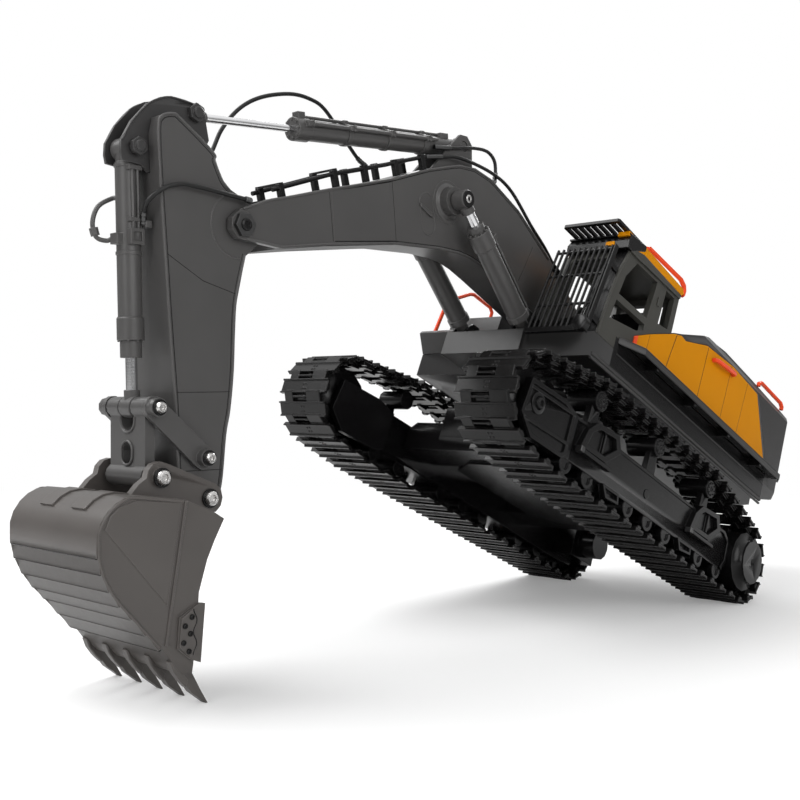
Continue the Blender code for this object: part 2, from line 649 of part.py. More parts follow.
def front_guard():
    """Slatted guard in front of the cab, on four stand-offs."""
    low, high = CAB_INNER + 0.001, HOUSE_HALF
    height = 0.0648
    frame = box((-0.0012, low, 0), (0.0012, high, height))
    pitch = (high - low - 0.004) / 10
    slots = []
    for column in range(10):
        y = low + 0.0028 + pitch * column
        for start, end in ((0.0035, 0.0200), (0.0222, 0.0425), (0.0447, 0.0613)):
            slots.append(box((-0.003, y, start), (0.003, y + pitch - 0.0018, end)))
    cut(frame, *slots)
    for y in (low + 0.0003, high - 0.0026):
        for z, reach in ((0.0105, 0.0094), (0.0500, 0.0091)):
            combine(frame, box((-reach, y, z), (0.0002, y + 0.0023, z + 0.004)))
    lean = Matrix.Translation((0.0960, 0, 0.0960)) @ Matrix.Rotation(-math.atan2(0.010, 0.064), 4, "Y")
    frame.data.transform(lean)
    return frame


def roof_visor():
    low, high = CAB_INNER + 0.003, HOUSE_HALF - 0.0015
    plan = [(0.0875, low), (0.0885, low + 0.001), (0.0885, high - 0.001), (0.0875, high), (0.0556, high),
            (0.0715, low)]
    holes = []
    pitch = (high - low - 0.003) / 8
    for slot in range(8):
        y = low + 0.0022 + pitch * slot
        back = 0.0735 - 0.0150 * (y - low) / (high - low)
        holes.append([(back, y), (0.0860, y), (0.0860, y + pitch - 0.0022), (back, y + pitch - 0.0022)])
    visor = plate(plan, 0.1752, 0.1772, axis="Z", holes=holes)
    for y in (low + 0.0035, high - 0.0060):
        foot = plate(mm((66.2, 173.15), (71.6, 172.1), (74.0, 175.6), (64.0, 175.6)), y, y + 0.003)
        combine(visor, foot)
    return visor


def roof_rail():
    y = HOUSE_HALF - 0.0010
    path = [(0.0532, y, 0.1746), (0.0532, y, 0.1762), (0.0508, y, 0.1777), (0.0060, y, 0.1794),
            (0.0008, y, 0.1775)]
    path += [(-0.0010, y, 0.1745), (-0.0006, y, 0.1712), (0.0002, y, 0.1705)]
    return tube(path, RAIL_RADIUS)


def work_lamp():
    x, y, z = 0.0975, HOUSE_HALF - 0.0012, 0.0985
    profile = [(0, 0), (0.0042, 0), (0.0052, 0.0010), (0.0052, 0.0052), (0.0040, 0.0060), (0, 0.0056)]
    return turned(profile, (x, y, z), axis="X")


def hood_handle(side):
    y = PANEL_OUT + GAP
    out = y + 0.0032
    path = [(-0.0550, y, 0.1490), (-0.0550, y + 0.0020, 0.1490), (-0.0575, out, 0.1492),
            (-0.0830, out, 0.1518)]
    path += [(-0.0855, y + 0.0020, 0.1521), (-0.0855, y, 0.1521)]
    return tube([(x, side * reach, z) for x, reach, z in path], RAIL_RADIUS)


def tail_handle(side):
    y = HOUSE_HALF - 0.0078
    path = [(-0.1446, y, 0.1703), (-0.1446, y, 0.1728), (-0.1480, y, 0.1748), (-0.1860, y, 0.1748)]
    path += [(-0.1894, y, 0.1728), (-0.1894, y, 0.1703)]
    return tube([(x, side * reach, z) for x, reach, z in path], RAIL_RADIUS)


def tool_box():
    side = mm((5, 0), (64.2, 0), (73.0, 112.2), (71.5, 114.5), (46, 116), (44.5, 138), (5, 141))
    side = [(x, max(z, FLOOR)) for x, z in side]
    case = plate(side, -CAB_INNER - 0.001, -HOUSE_HALF)
    return cut(case, *panel_pockets())


def deck_rail():
    y = -HOUSE_HALF + 0.0070
    path = [(0.0660, y, 0.1155), (0.0630, y, 0.1400), (0.0600, y, 0.1450), (0.0420, y, 0.1595),
            (0.0380, y, 0.1612)]
    path += [(0.0170, y, 0.1616), (0.0137, y, 0.1590), (0.0137, y, 0.1422)]
    return tube(path, RAIL_RADIUS - 0.0002)


def slew_motor():
    base = box((-0.0560, -0.0140, FLOOR), (-0.0210, 0.0140, FLOOR + 0.008))
    can = cylinder((-0.0380, 0, FLOOR + 0.007), (-0.0380, 0, FLOOR + 0.032), 0.0115)
    return combine(base, can)


def battery_pack():
    pack = box((-0.1180, -0.0330, FLOOR), (-0.0640, 0.0330, FLOOR + 0.020))
    ribs = [cylinder((-0.1170, y, FLOOR + 0.020), (-0.0650, y, FLOOR + 0.020), 0.0080, 10)
            for y in (-0.022, 0, 0.022)]
    return combine(pack, *ribs)


def control_board():
    near = HOUSE_HALF - 0.0547
    board = box((-0.0580, near, FLOOR + 0.0040), (-0.0120, near + 0.0360, FLOOR + 0.0056))
    posts = [box((x, y, FLOOR), (x + 0.004, y + 0.004, FLOOR + 0.005)) for x in (-0.056, -0.018)
             for y in (near + 0.002, near + 0.030)]
    chips = [box((-0.0450, near + 0.010, FLOOR + 0.005), (-0.0330, near + 0.022, FLOOR + 0.0085)),
             box((-0.0260, near + 0.007, FLOOR + 0.005), (-0.0180, near + 0.027, FLOOR + 0.0130))]
    return combine(board, *posts, *chips)


add("house_deck", house_deck(), DARK_GREY, house)
add("engine_hood", engine_hood(), DARK_GREY, house)
add("counterweight", counterweight(), DARK_GREY, house)
add("cab_frame", cab_frame(), OLIVE_GREY, house)
add("cab_roof", cab_roof(), YELLOW, house)
add("cab_seat", cab_seat(), BLACK, house)
add("cab_console", cab_console(), BLACK, house)
add("front_guard", front_guard(), BLACK, house)
add("roof_visor", roof_visor(), BLACK, house)
add("roof_rail", roof_rail(), ORANGE, house)
add("work_lamp", work_lamp(), LENS, house)
add("tool_box", tool_box(), DARK_GREY, house)
add("deck_rail", deck_rail(), ORANGE, house)
add("slew_motor", slew_motor(), DARK_STEEL, house)
add("battery_pack", battery_pack(), CELL, house)
add("control_board", control_board(), BOARD, house)
for side, hand in ((1, "left"), (-1, "right")):
    add("side_panel_" + hand, plate(PANEL, side * PANEL_IN, side * PANEL_OUT), YELLOW, house)
    add("walkway_" + hand, walkway(side), DARK_GREY, house)
    add("hood_handle_" + hand, hood_handle(side), ORANGE, house)
    add("tail_handle_" + hand, tail_handle(side), ORANGE, house)

# Boom
BOOM = mm((56.5, 123.6), (82.3, 124.9), (114.7, 126.2), (129.1, 126.4), (140, 125.4), (150, 122.8),
          (166.2, 116.6), (201.2, 99.8), (248.8, 71.2))
NOSE = mm((279.4, 51.6), (300, 44.2), (304.9, 42.4), (310.2, 44.6), (312.4, 49.9), (309.5, 56.5),
          (295.4, 70.8), (280.6, 82.4))
BOOM += NOSE + mm((263.3, 97.1), (219.2, 132.5), (194, 155.4), (171.8, 172.6), (157.7, 179),
                  (141.5, 181.6), (108.5, 178.7), (66.9, 167.7))
BOOM += arc(FOOT, 0.0135, 108, 272, 6)
FORK_IN = ARM_HALF + 0.0009
LUG_IN = RAM_RADIUS + 0.0004
LUG_OUT = LUG_IN + 0.0018
PIPE_SPREAD = 0.0080
CLIP_HALF = 0.0019
CLIP_SPLIT = 0.2300
PIPE = mm((290, 83.5), (256.5, 114.5), (215.2, 148.1), (196.4, 162.4))


def strap(first, second, r1, r2, count=6):
    """Outline of a link: two round ends with straight sides."""
    along = math.degrees(math.atan2(second[1] - first[1], second[0] - first[0]))
    return arc(first, r1, along + 90, along + 270, count) + arc(second, r2, along - 90, along + 90, count)


def reach_to(point, outline):
    """Nearest distance from a point to an outline, and the direction to it."""
    spot = Vector(point)
    nearest = None
    for a, b in zip(outline, outline[1:] + outline[:1]):
        a, b = Vector(a), Vector(b)
        share = max(0.0, min(1.0, (spot - a).dot(b - a) / (b - a).length_squared))
        gap = a.lerp(b, share) - spot
        if nearest is None or gap.length < nearest.length:
            nearest = gap
    return nearest.length, nearest.normalized()


def boom_shell():
    boom = plate(BOOM, -BOOM_HALF, BOOM_HALF)
    flare = plate(mm((219.7, 131.5), (263.0, 96.7), (249.1, 72.0), (202.0, 100.1)), -TIP_HALF, TIP_HALF)
    for point in flare.data.vertices:
        if point.co.x < 0.230:
            point.co.y *= (BOOM_HALF - 0.0002) / TIP_HALF
    tip = NOSE + mm((261.5, 98.2), (247.2, 72.5))
    head = plate(grown(tip, -0.0002), -TIP_HALF - 0.0001, TIP_HALF + 0.0001)
    combine(boom, flare, head)
    back = math.degrees(math.atan2(BOOM[18][1] - TIP[1], BOOM[18][0] - TIP[0])) + 8
    ahead = (-0.040 * math.cos(math.radians(back)), -0.040 * math.sin(math.radians(back)))
    slot = arc(TIP, 0.026, back - 90, back + 90, 8)
    slot = [(slot[0][0] + ahead[0], slot[0][1] + ahead[1]), *slot,
            (slot[-1][0] + ahead[0], slot[-1][1] + ahead[1])]
    cut(boom, plate(slot, -FORK_IN, FORK_IN))
    cut(boom, cylinder((TIP[0], -0.03, TIP[1]), (TIP[0], 0.03, TIP[1]), PIN_RADIUS + GAP))
    cut(boom, cylinder((FOOT[0], -0.03, FOOT[1]), (FOOT[0], 0.03, FOOT[1]), PIN_RADIUS + GAP))
    x, z = ARM_RAM_BASE
    bracket = [(x - 0.018, z - 0.018), (x + 0.024, z - 0.038), (x + 0.010, z - 0.004),
               (x + 0.006, z + 0.0045)]
    bracket += [(x, z + 0.0072), (x - 0.0062, z + 0.0045), (x - 0.011, z - 0.006)]
    for side in (1, -1):
        lug = plate(bracket, side * LUG_IN, side * LUG_OUT, holes=[ring(ARM_RAM_BASE, SMALL_PIN + GAP)])
        boss = cylinder((BOOM_RAM_EYE[0], side * (BOOM_HALF - 0.002), BOOM_RAM_EYE[1]),
                        (BOOM_RAM_EYE[0], side * (BOOM_RAM_OFFSET - 0.0051), BOOM_RAM_EYE[1]), 0.0085)
        combine(boom, lug, boss)
    return boom


def boom_pipes():
    """Pair of pipes over the boom, held by bridge clips that leave the ram its swing near its base."""
    pipes = [tube([(x, y, z) for x, z in PIPE], HOSE_RADIUS + 0.0001)
             for y in (-PIPE_SPREAD, PIPE_SPREAD)]
    rack = None
    for x, z in mm((286, 87.2), (256.5, 114.5), (218, 145.8), (199, 160.4)):
        gap, towards = reach_to((x, z), BOOM)
        across = Vector((-towards.y, towards.x)) * 0.0020
        top = Vector((x, z)) - towards * 0.0018
        foot = Vector((x, z)) + towards * (gap - GAP)
        outline = [tuple(top + across), tuple(top - across), tuple(foot - across), tuple(foot + across)]
        clip = plate(outline, -PIPE_SPREAD - CLIP_HALF, PIPE_SPREAD + CLIP_HALF)
        if x < CLIP_SPLIT:
            cut(clip, plate(grown(outline, 0.001), CLIP_HALF - PIPE_SPREAD, PIPE_SPREAD - CLIP_HALF))
        rack = clip if rack is None else combine(rack, clip)
    return combine(rack, *pipes)


def boom_foot_pin():
    reach = BOOM_HALF + 2 * RUN + 0.004
    pin = cylinder((FOOT[0], -reach - 0.0022, FOOT[1]), (FOOT[0], reach + 0.0022, FOOT[1]), PIN_RADIUS)
    for side in (1, -1):
        head = cylinder((FOOT[0], side * (reach + GAP), FOOT[1]),
                        (FOOT[0], side * (reach + 0.0024), FOOT[1]), PIN_RADIUS + 0.0022, 6)
        combine(pin, head)
    return pin


def arm_pin():
    pin = cylinder((TIP[0], -TIP_HALF - 0.0026, TIP[1]), (TIP[0], TIP_HALF + 0.0026, TIP[1]), PIN_RADIUS)
    for side in (1, -1):
        head = cylinder((TIP[0], side * (TIP_HALF + GAP), TIP[1]),
                        (TIP[0], side * (TIP_HALF + 0.0028), TIP[1]), PIN_RADIUS + 0.0020, 6)
        combine(pin, head)
    return pin


def hose(points):
    return tube(flow([(x / 1000, y / 1000, z / 1000) for x, y, z in points]), HOSE_RADIUS)


def boom_hose():
    return hose([(195.9, 8.0, 162.8), (185, 9.8, 169.8), (172.2, 11.9, 177), (143.5, 11.9, 185.4),
                 (121, 11.9, 186.3), (92.9, 11.9, 177.2), (70, 11, 171.6), (50, 10, 164.0),
                 (40, 9.5, 159.6)])


def arm_ram_hose():
    return hose([(191, 7.3, 173.2), (180, 9.3, 179.5), (163.7, 9.4, 190.4), (150, 9.4, 197.2),
                 (141, 9.4, 196.4), (136.5, 9.4, 190), (135.0, 9.4, 183.4)])


def loop_hose():
    return hose([(323.1, -11.5, 71.9), (318.6, -12, 78.5), (317.2, -12, 90.2), (316.5, -12, 104),
                 (311.2, -12, 120.2), (301.3, -12, 134.2), (285.7, -12, 147.4), (272.4, -12, 153.6),
                 (260.5, -12, 154.8), (240.5, -12, 148.4), (228, -11.6, 144.2), (220.5, -10.8, 143.4)])


def ram_barrel(start, length, radius, rod, eye_half, eye_radius, pin_half, bore_start, collar):
    """Barrel along X from its base pin, bored for the rod, with trunnions and a stepped collar."""
    barrel = cylinder((start, 0, 0), (length, 0, 0), radius)
    neck = cylinder((0, 0, 0), (start + 0.001, 0, 0), eye_half - 0.0001, 10)
    eye = cylinder((0, -eye_half, 0), (0, eye_half, 0), eye_radius, 12)
    pin = cylinder((0, -pin_half, 0), (0, pin_half, 0), SMALL_PIN, 8)
    combine(barrel, neck, eye, pin)
    for start, end, size in collar:
        combine(barrel, cylinder((start, 0, 0), (end, 0, 0), size))
    far = max(length, *[end for start, end, size in collar]) + 0.01
    return cut(barrel, cylinder((bore_start, 0, 0), (far, 0, 0), rod + RUN, 10))


def ram_rod(start, length, rod, eye_half, eye_radius, neck):
    shaft = cylinder((start, 0, 0), (length, 0, 0), rod, 10)
    collar = cylinder((length - neck, 0, 0), (length, 0, 0), rod + 0.0010, 10)
    eye = cylinder((length, -eye_half, 0), (length, eye_half, 0), eye_radius, 12)
    return combine(shaft, collar, eye)


add("boom_shell", boom_shell(), CHARCOAL, boom_pivot, boom_origin)
add("boom_pipes", boom_pipes(), BLACK, boom_pivot, boom_origin)
add("boom_foot_pin", boom_foot_pin(), DARK_STEEL, boom_pivot, boom_origin)
add("arm_pin", arm_pin(), DARK_STEEL, boom_pivot, boom_origin)
add("boom_hose", boom_hose(), BLACK, boom_pivot, boom_origin)
add("arm_ram_hose", arm_ram_hose(), BLACK, boom_pivot, boom_origin)
add("loop_hose", loop_hose(), BLACK, boom_pivot, boom_origin)

for side, hand in ((1, "left"), (-1, "right")):
    pivot, reach = aimed("boom_ram_axis_" + hand, BOOM_RAM_BASE, BOOM_RAM_EYE, house,
                         side * BOOM_RAM_OFFSET)
    shell = ram_barrel(0.0105, reach - 0.026, BOOM_RAM_RADIUS, BOOM_ROD_RADIUS, 0.0042, 0.0058, 0.0064,
                       0.0140, [(reach - 0.034, reach - 0.0225, BOOM_RAM_RADIUS + 0.0007),
                                (reach - 0.024, reach - 0.0180, 0.0052)])
    add("boom_ram_barrel_" + hand, shell, CHARCOAL, pivot)
    slide = empty("boom_rod_slide_" + hand, (0, 0, 0), pivot)
    add("boom_ram_rod_" + hand, ram_rod(0.017, reach, BOOM_ROD_RADIUS, 0.0044, 0.0056, 0.0090), CHROME,
        slide)

eye_on_boom = (TIP[0] + ARM_RAM_EYE[0] * math.cos(TILT) + ARM_RAM_EYE[1] * math.sin(TILT),
               TIP[1] - ARM_RAM_EYE[0] * math.sin(TILT) + ARM_RAM_EYE[1] * math.cos(TILT))
pivot, reach = aimed("arm_ram_axis", ARM_RAM_BASE, eye_on_boom, boom_pivot, 0, boom_origin)
shell = ram_barrel(0.0052, 0.1270, RAM_RADIUS, ARM_ROD_RADIUS, LUG_IN - 2 * GAP, 0.0060, LUG_OUT - 0.0002,
                   0.0300, [(0.0300, 0.0340, 0.0063), (0.0620, 0.0650, 0.0063), (0.0940, 0.0970, 0.0063),
                            (0.1240, 0.1340, 0.0063)])
side_pipe = cylinder((0.0240, 0.0069, 0.0022), (0.1280, 0.0069, 0.0022), HOSE_RADIUS, 6)
clamps = [box((x, 0.0030, 0.0006), (x + 0.0044, 0.0084, 0.0038))
          for x in (0.0296, 0.0612, 0.0932, 0.1251)]
add("arm_ram_barrel", combine(shell, *clamps, side_pipe), CHARCOAL, pivot)
slide = empty("arm_rod_slide", (0, 0, 0), pivot)
eye_half = EAR_OUTER - EAR_SHEET - 2 * GAP
add("arm_ram_rod", ram_rod(0.0800, reach, ARM_ROD_RADIUS, eye_half, 0.0054, 0.0110), CHROME, slide)

# Arm
ARM = mm((46.9, 37.1), (45.3, 44.8), (38.2, 47.6), (33.4, 45.8), (14.6, 33.6), (13.6, 29.6), (8.9, 21.0),
         (4.3, 17.1), (-0.5, 15.1), (-8.5, 12.4), (-13.8, 6.0), (-15.0, -1.0), (-12.4, -8.4),
         (-5.4, -14.2), (-0.1, -38.5), (0.9, -70), (2.7, -89.6), (5.0, -101.7), (7.4, -126))
NOSE_RADIUS = 0.0096
ARM += arc(BUCKET_HINGE, NOSE_RADIUS, 205, 328, 7)
ARM += mm((33.0, -119.6), (34.9, -89.9), (38.9, -51.6), (41.8, -21), (45.0, 11.6))
EAR = mm((61.2, 26.7), (61.0, 32.1), (56.0, 41.4), (47.6, 51.1), (40.5, 55.5), (34.5, 57.3), (26.4, 57.2),
         (19.5, 56.4), (15.9, 54.8), (14.8, 51.8), (12.2, 40.5), (16, 33), (30, 24), (46.4, 19.4),
         (50.6, 22.1), (60.3, 22.9))
ROCKER_IN = ARM_HALF + 0.0005
ROCKER_OUT = ROCKER_IN + 0.0026
LINK_HALF = ROCKER_IN - 0.0006
HANGER_IN = ROCKER_OUT + 0.0005
HANGER_OUT = HANGER_IN + 0.0040
BUCKET_PIN = 0.0034


def arm_shell():
    holes = [ring((0, 0), PIN_RADIUS + RUN), ring(BUCKET_HINGE, BUCKET_PIN + RUN),
             ring(ROCKER_PIVOT, SMALL_PIN + RUN)]
    arm = plate(ARM, -ARM_HALF, ARM_HALF, holes=holes)
    for side in (1, -1):
        slot = plate(grown(EAR, GAP), side * (EAR_OUTER - EAR_SHEET - GAP), side * (EAR_OUTER + GAP))
        cut(arm, slot)
    return arm


def ear_plate(side):
    ear = plate(EAR, side * (EAR_OUTER - EAR_SHEET), side * EAR_OUTER,
                holes=[ring(BUCKET_RAM_BASE, SMALL_PIN + RUN)])
    nut = cylinder((ARM_RAM_EYE[0], side * (EAR_OUTER - 0.0005), ARM_RAM_EYE[1]),
                   (ARM_RAM_EYE[0], side * (EAR_OUTER + 0.0024), ARM_RAM_EYE[1]), 0.0044, 6)
    return combine(ear, nut)


def arm_hose():
    return hose([(-5.6, 18, 12.6), (-1.9, 18, 13.0), (6, 18, 13.4), (16.2, 18, 14.1), (27.8, 18, 14.6),
                 (36.3, 18, 14.2), (44.5, 17, 11.1), (50, 13.5, 5.5), (49.5, 9, 0.5), (48.2, 6.6, -5.0)])


def rocker(side):
    eye = (BUCKET_RAM_EYE[0] - ROCKER_PIVOT[0], BUCKET_RAM_EYE[1] - ROCKER_PIVOT[1])
    bores = [ring((0, 0), SMALL_PIN + GAP)] if side < 0 else []
    arm = plate(strap((0, 0), eye, 0.0058, 0.0052), side * ROCKER_IN, side * ROCKER_OUT, holes=bores)
    head = cylinder((eye[0], side * (ROCKER_OUT - 0.001), eye[1]),
                    (eye[0], side * (HANGER_OUT - 0.0004), eye[1]), 0.0044, 10)
    combine(arm, head)
    if side > 0:
        pin = cylinder((0, -HANGER_OUT + 0.001, 0), (0, ROCKER_OUT - 0.0002, 0), SMALL_PIN, 8)
        cap = cylinder((0, ROCKER_OUT - 0.001, 0), (0, HANGER_OUT - 0.0006, 0), 0.0044, 10)
        combine(arm, pin, cap)
    return arm


def push_link():
    low = (BUCKET_HINGE[0] + LINK_PIN[0] - BUCKET_RAM_EYE[0],
           BUCKET_HINGE[1] + LINK_PIN[1] - BUCKET_RAM_EYE[1])
    web = plate([(-0.0026, -0.003), (0.0026, -0.003), (low[0] + 0.0026, low[1] + 0.002),
                 (low[0] - 0.0026, low[1] + 0.002)], -LINK_HALF + 0.0004, LINK_HALF - 0.0004)
    top = cylinder((0, -LINK_HALF, 0), (0, LINK_HALF, 0), 0.0048, 12)
    foot = cylinder((low[0], -LINK_HALF, low[1]), (low[0], LINK_HALF, low[1]), 0.0052, 12)
    link = combine(web, top, foot)
    upper = [(0.0052, 0.010), (-0.0052, 0.010), *arc((0, -0.0058), 0.0052, 180, 360, 6)]
    lower = [(-0.0037, low[1] + 0.0055), (0.0037, low[1] + 0.0055), *arc((0, -0.0201), 0.0037, 0, 180, 6)]
    return cut(link, plate(upper, -0.012, 0.012, axis="X"), plate(lower, -0.012, 0.012, axis="X"))


def bucket_shell():
    """Bucket with its hangers, lip, five teeth and side cutters."""
    crown = mm((24.6, 1.6), (50.1, 4.5), (55.4, 3.8), (60, 1.6), (63.8, -1.6), (67.0, -6.2), (68.6, -11),
               (68.6, -16.5))
    slats = mm((68.4, -20.7), (66.6, -27.6), (62.6, -35.2), (57.2, -42.2), (51.4, -48.2), (44.2, -56.0),
               (37.4, -63.4))
    back, skin = list(crown), list(crown)
    for here, after in zip(slats, slats[1:]):
        along = (Vector(after) - Vector(here)).normalized()
        start = tuple(Vector(here) + SLAT_STEP * Vector((along.y, -along.x)))
        back += [here, start]
        skin.append(start)
    back += [slats[-1], *mm((35.6, -62.4), (27.0, -73.4), (24.6, -75.6), (19.5, -76.2))]
    front = mm((18.8, -72), (16.5, -45.2), (16.3, -40.4), (12, -26.2), (7.9, -17.6), (2.7, -8.2),
               (8.4, -4.9))
    bucket = plate(back + front, -BUCKET_HALF, BUCKET_HALF)
    inside = mm((-20, -12), (4, -9.5), (9.5, -7.6), (25, -0.8)) + grown(skin, -SHEET)[1:-1]
    inside += mm((32.0, -63.2), (20.4, -73.6), (10, -74), (-20, -70))
    cut(bucket, plate(inside, SHEET - BUCKET_HALF, BUCKET_HALF - SHEET))
    cut(bucket, cylinder((0, -ARM_HALF - 0.001, 0), (0, ARM_HALF + 0.001, 0), 0.0135))
    hanger = arc((0, 0), 0.0075, 120, 240, 4) + mm((6, -7.6), (24, -1.0), (44, 2.5), (39, 8))
    hanger += arc(LINK_PIN, 0.0072, 0, 120, 4)
    for side in (1, -1):
        ear = plate(hanger, side * HANGER_IN, side * HANGER_OUT, holes=[ring((0, 0), BUCKET_PIN + GAP)])
        cap = cylinder((LINK_PIN[0], side * (HANGER_OUT - 0.001), LINK_PIN[1]),
                       (LINK_PIN[0], side * (HANGER_OUT + 0.0020), LINK_PIN[1]), 0.0044, 10)
        blade = mm((13.9, -45.2), (17.0, -44.8), (27.6, -50.0), (28.6, -63.6), (22.0, -68.9),
                   (15.9, -71.4))
        cutter = plate(blade, side * (BUCKET_HALF - 0.001), side * (BUCKET_HALF + 0.0016))
        combine(bucket, ear, cap, cutter)
    spread = BUCKET_HALF - TOOTH_WIDTH / 2 - 0.0002
    tooth = mm((20.6, -70.5), (27.6, -70.8), (25, -77), (19.4, -84.6), (11.4, -90.7), (10.4, -90.7),
               (14.6, -84), (19.2, -76))
    for step in range(5):
        y = spread * (step - 2) / 2
        combine(bucket, plate(tooth, y - TOOTH_WIDTH / 2, y + TOOTH_WIDTH / 2))
    return bucket


def bucket_pin():
    reach = HANGER_OUT + GAP
    pin = cylinder((0, -reach - 0.001, 0), (0, reach + 0.001, 0), BUCKET_PIN, 12)
    for side in (1, -1):
        combine(pin, cylinder((0, side * reach, 0), (0, side * (reach + 0.0022), 0), 0.0052, 12))
    return pin


add("arm_shell", arm_shell(), CHARCOAL, arm_pivot)
add("arm_hose", arm_hose(), BLACK, arm_pivot)
for side, hand in ((1, "left"), (-1, "right")):
    add("ear_plate_" + hand, ear_plate(side), DARK_GREY, arm_pivot)
    add("rocker_" + hand, rocker(side), CHARCOAL, rocker_pivot)
add("push_link", push_link(), CHARCOAL, link_pivot)
add("bucket_shell", bucket_shell(), BROWN_GREY, bucket_pivot)
add("bucket_pin", bucket_pin(), STEEL, bucket_pivot)

pivot, reach = aimed("bucket_ram_axis", BUCKET_RAM_BASE, BUCKET_RAM_EYE, arm_pivot, 0)
shell = ram_barrel(0.0060, 0.0790, RAM_RADIUS, BUCKET_ROD_RADIUS, eye_half, 0.0056, EAR_OUTER + 0.0016,
                   0.0200, [(0.0775, 0.0880, 0.0063), (0.0870, 0.0960, 0.0050)])
block = box((0.0330, -0.0045, 0.0040), (0.0430, 0.0045, 0.0080))
loop = tube(flow([(0.0220, -0.0046, 0.0020), (0.0222, -0.0070, 0.0040), (0.0265, -0.0075, 0.0110),
                  (0.0340, -0.0075, 0.0140), (0.0405, -0.0072, 0.0125), (0.0420, -0.0060, 0.0080),
                  (0.0410, -0.0040, 0.0060)], 1), HOSE_RADIUS)
add("bucket_ram_barrel", combine(shell, block, loop), CHARCOAL, pivot)
slide = empty("bucket_rod_slide", (0, 0, 0), pivot)
add("bucket_ram_rod", ram_rod(0.0400, reach, BUCKET_ROD_RADIUS, 0.0044, 0.0050, 0.0080), CHROME, slide)
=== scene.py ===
import json
import math
import bmesh
import bpy
import numpy as np
from mathutils import Matrix, Vector

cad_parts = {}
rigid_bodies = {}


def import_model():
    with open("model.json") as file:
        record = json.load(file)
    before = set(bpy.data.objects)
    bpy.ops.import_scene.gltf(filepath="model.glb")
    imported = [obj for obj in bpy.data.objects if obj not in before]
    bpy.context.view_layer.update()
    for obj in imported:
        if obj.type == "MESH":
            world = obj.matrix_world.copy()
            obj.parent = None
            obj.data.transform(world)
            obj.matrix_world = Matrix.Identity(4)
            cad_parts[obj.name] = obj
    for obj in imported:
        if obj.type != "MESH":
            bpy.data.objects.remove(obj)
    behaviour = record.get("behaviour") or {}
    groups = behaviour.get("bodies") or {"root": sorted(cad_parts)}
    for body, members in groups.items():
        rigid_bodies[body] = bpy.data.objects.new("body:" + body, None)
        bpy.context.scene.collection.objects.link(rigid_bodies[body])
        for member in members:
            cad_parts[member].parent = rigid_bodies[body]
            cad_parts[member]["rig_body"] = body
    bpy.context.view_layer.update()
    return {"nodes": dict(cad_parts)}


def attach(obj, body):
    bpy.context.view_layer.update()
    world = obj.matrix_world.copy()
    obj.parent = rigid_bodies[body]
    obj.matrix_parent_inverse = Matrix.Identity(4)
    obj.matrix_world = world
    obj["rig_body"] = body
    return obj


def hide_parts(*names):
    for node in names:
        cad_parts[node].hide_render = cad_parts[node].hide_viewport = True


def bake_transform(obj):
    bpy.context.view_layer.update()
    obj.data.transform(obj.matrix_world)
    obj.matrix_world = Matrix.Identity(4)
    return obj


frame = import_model()
print("frame loaded:", len(frame["nodes"]), "nodes")

# forms are drawn in millimetres in local frames; matrices, lights and hose blends are in metres


# Matrix of a local frame turned about Y: world = base * (origin + turn * local)
def turnedFrame(origin, angle=0.0, base=None):
    local = Matrix.Translation(Vector(origin) / 1000) @ Matrix.Rotation(angle, 4, "Y")
    return local if base is None else base @ local


# Local X runs from the base pin to the rod eye
def ramFrame(basePin, eyePin, base, y=0.0):
    slope = math.atan2(eyePin[1] - basePin[1], eyePin[0] - basePin[0])
    return turnedFrame((basePin[0], y, basePin[1]), -slope, base)


# Point of the middle plane
def inPlane(key):
    return Vector((pose[key][0], 0, pose[key][1]))


hands = (("left", 1), ("right", -1))
sides = (1, -1)
pose = {"tilt": math.radians(23.30), "reach": 133.75, "heel": 29.2, "shift": -42.2, "boomTip": (304.9, 49.9),
        "hinge": (20.0, -131.0), "rocker": (20.3, -112.2), "rodEye": (48.3, -88.8), "linkPin": (27.8, 10.7),
        "bucketRamBase": (53.4, 29.8), "armRamBase": (168.0, 189.0), "armRamEye": (20.6, 52.0),
        "boomRamBase": (84.0, 103.0), "boomRamEye": (171.8, 146.0), "boomRamOffset": 24.0}
heelTurned = Matrix.Rotation(-pose["tilt"], 3, "Y") @ Vector((-pose["reach"], 0, pose["heel"]))
machine = turnedFrame((pose["shift"] - pose["reach"] - heelTurned.x, 0, pose["heel"] - heelTurned.z),
                      -pose["tilt"])
arm = Matrix.Translation(machine @ (inPlane("boomTip") / 1000))
bucket, rocker, link = (turnedFrame(inPlane(key), 0, arm) for key in ("hinge", "rocker", "rodEye"))
bucketRam = ramFrame(pose["bucketRamBase"], pose["rodEye"], arm)
armEye = (machine.inverted() @ (arm @ (inPlane("armRamEye") / 1000))) * 1000
armRam = ramFrame(pose["armRamBase"], (armEye.x, armEye.z), machine)
boomRams = {hand: ramFrame(pose["boomRamBase"], pose["boomRamEye"], machine, side * pose["boomRamOffset"])
            for hand, side in hands}


# surfaces: side -1 puts a form on the right instead of the left

# Points of the side plane at a distance y from the middle
def atSide(path, y):
    path = np.asarray(path, float)
    return np.column_stack([path[:, 0], np.full(len(path), y), path[:, 1]])


# Length along a path up to each of its points
def reachAlong(path):
    return np.concatenate([[0], np.cumsum(np.linalg.norm(np.diff(path, axis=0), axis=1))])


# Points at shares of a polyline's length
def lineAt(path, shares):
    path = np.asarray(path, float)
    reach = reachAlong(path)
    return np.column_stack([np.interp(shares * reach[-1], reach, column) for column in path.T])


# Drawn points carried into the world: p' = R p / 1000 + t
def moved(points, matrix):
    turn = np.array(matrix.to_3x3())
    return np.asarray(points, float) / 1000 @ turn.T + np.array(matrix.translation)


